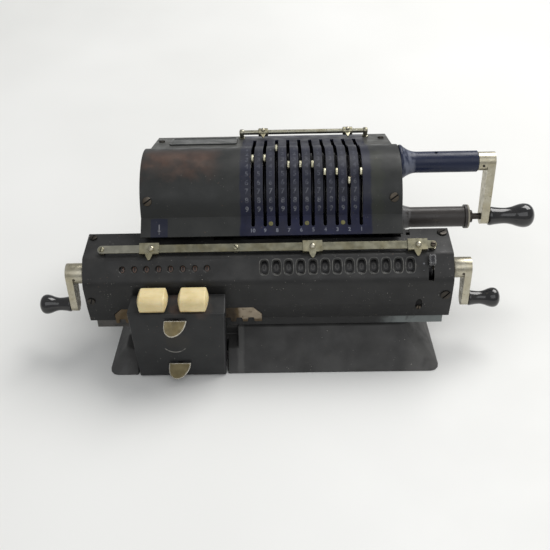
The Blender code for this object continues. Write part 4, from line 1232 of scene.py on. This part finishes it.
def dials():
    for place, x in enumerate(RESULT_X):
        node = f"result_dial_{RESULT_PLACES - place}"
        piece(dial_body(x), f"{node}_fine", "dial", node, node)
        piece(figure_ring(x, 4.8, 0), f"{node}_figures", "dial_ink", node)
    bodies = [dial_body(x) for x in COUNTER_X]
    piece(merge(bodies), "counter_dials_fine", "dial", "counter_dials", "counter_dial_set")
    rings = [figure_ring(x, 4.4, 3 if x == COUNTER_X[0] else 0) for x in COUNTER_X]
    piece(merge(rings), "counter_figures", "rust_ink", "counter_dials")


def clearing_crank(register, side, end_plate, shaft_end):
    """Dial shaft, hub and arm, with the knob on its spindle."""
    hub_start = end_plate + side * 0.6
    hub_end = end_plate + side * 14.8
    hub = [(hub_start, 6.8), (hub_start + side * 0.8, 7.4), (hub_start + side * 1.6, 7.8), (hub_end, 7.8)]
    crank = lathe(hub, DIAL_AXIS)
    join(crank, lathe([(shaft_end, 4.0), (hub_end - side, 4.0)], DIAL_AXIS, 32))
    outline = bar_outline(DIAL_AXIS, CLEAR_KNOB_AXIS, 7.8, 5.4)
    join(crank, prism(outline, hub_end - side * 5.2, hub_end - side * 0.01))
    join(crank, lathe([(hub_end - side * 2.0, 1.7), (hub_end + side * 18.0, 1.7)], CLEAR_KNOB_AXIS, 24))
    node = f"{register}_clearing_crank"
    body = f"{register}_crank"
    piece(crank, f"{node}_fine", "nickel", body, node, 0.5, 3)
    spot = (hub_start + side * 8.0, DIAL_AXIS[0] - 7.7, DIAL_AXIS[1] - 0.4)
    pin = turned([(0.0, 1.1), (0.35, 1.05), (0.5, 0.6)], spot, (0, -1.0, -0.05), 16)
    piece(pin, f"{register}_taper_pin", "screw", body)
    node = f"{register}_clearing_knob"
    shape = knob(hub_end + side * 0.4, 24.3, 7.6, 2.0, side, CLEAR_KNOB_AXIS)
    piece(shape, f"{node}_fine", "gloss", f"{register}_knob", node)


# Scene

CAMERA_PLACE = (11.85, -414.15, 449.58)
CAMERA_PITCH = radians(40.0)
CAMERA_YAW = -0.0214
CAMERA_ROLL = -0.0300
LENS = 51.74


def make_camera():
    """Camera 450 mm above the desk, in front of the machine, looking 40 degrees down."""
    level = cos(CAMERA_PITCH)
    forward = Vector((sin(CAMERA_YAW) * level, cos(CAMERA_YAW) * level, -sin(CAMERA_PITCH)))
    right = Vector((cos(CAMERA_YAW), -sin(CAMERA_YAW), 0.0))
    up = right.cross(forward)
    c, s = cos(CAMERA_ROLL), sin(CAMERA_ROLL)
    right, up = c * right + s * up, c * up - s * right
    data = bpy.data.cameras.new("camera")
    data.sensor_width = 36.0
    data.lens = LENS
    data.clip_start = 0.01
    camera = add_object("camera", data)
    place = Vector(CAMERA_PLACE) * MM + MACHINE_ZERO
    camera.matrix_world = Matrix.Translation(place) @ Matrix((right, up, -forward)).transposed().to_4x4()
    bpy.context.scene.camera = camera


def area_light(name, place, size, power, colour):
    """Rectangular light in metres and watts, aimed at the frame's origin."""
    data = bpy.data.lights.new(name, "AREA")
    data.shape = "RECTANGLE"
    data.size, data.size_y = size
    data.energy = power
    data.color = colour
    light = add_object(name, data)
    light.location = place
    light.rotation_euler = (-Vector(place)).to_track_quat("-Z", "Y").to_euler()


def make_studio():
    scene = bpy.context.scene
    scene.view_settings.view_transform = "Standard"
    world = bpy.data.worlds.new("studio")
    world.use_nodes = True
    sky = world.node_tree.nodes["Background"].inputs
    sky["Color"].default_value = (0.97, 0.985, 1.0, 1.0)
    sky["Strength"].default_value = 0.44
    scene.world = world
    area_light("window", (1.0, 1.0, 1.9), (1.6, 1.4), 45.0, (1.0, 0.99, 0.97))
    area_light("fill", (0.2, -1.3, 1.4), (1.6, 1.2), 6.8, (0.97, 0.98, 1.0))
    bm = bmesh.new()
    bmesh.ops.create_grid(bm, x_segments=8, y_segments=8, size=4.0)
    floor = new_shape(bm)
    floor.name = "floor"
    floor.location.z = -0.0002
    floor.data.materials.append(floor_paper())


def plain_nodes():
    """CAD nodes that keep their own shape and only take a finish."""
    for node in ("base_plate", "carriage_guide_rail", "idler_gear", "rotor", "crank_shaft"):
        data = frame["nodes"][node].data
        data.materials.clear()
        data.materials.append(MATERIALS["steel"])


# CAD nodes whose shape only needs cleaner edges: finish, edge width, segments
REFINED = {
    "base_casting": ("base", 1.0, 3),
    "rear_cover": ("paint", 0.3),
    "left_frame_plate": ("paint", 0.3),
    "right_frame_plate": ("paint", 0.3),
    "key_housing": ("housing", 1.1, 3),
    "carriage_frame": ("frame", 0.3),
    "shift_rack": ("brass", 0.25),
}
REFINED_CONTROLS = {
    "upper_latch": ("latch", 0.55, 4),
    "lower_latch": ("latch", 0.55, 4),
    "selector_lever": ("selector", 0.7, 4),
}


def refine_all(table):
    for node, looks in table.items():
        refine(node, *looks)


def main():
    make_camera()
    make_studio()
    plain_nodes()
    drum_cover()
    top_plate()
    nameplate()
    figures()
    body_screws()
    bearing_cap()
    for column in range(1, COLUMNS + 1):
        refine(f"setting_lever_{column}", "lever", 0.5, 3)
    refine_all(REFINED)
    shift_keys()
    refine_all(REFINED_CONTROLS)
    crank_tubes()
    crank_arm()
    crank_handle()
    upper_pointers()
    decimal_rail()
    for number, x in enumerate(DECIMAL_POINTERS, 1):
        decimal_pointer(number, x)
    carriage_cover()
    carriage_details()
    dials()
    clearing_crank("result", 1, CARRIAGE_RIGHT, -26.6)
    clearing_crank("counter", -1, CARRIAGE_LEFT, -27.4)


main()
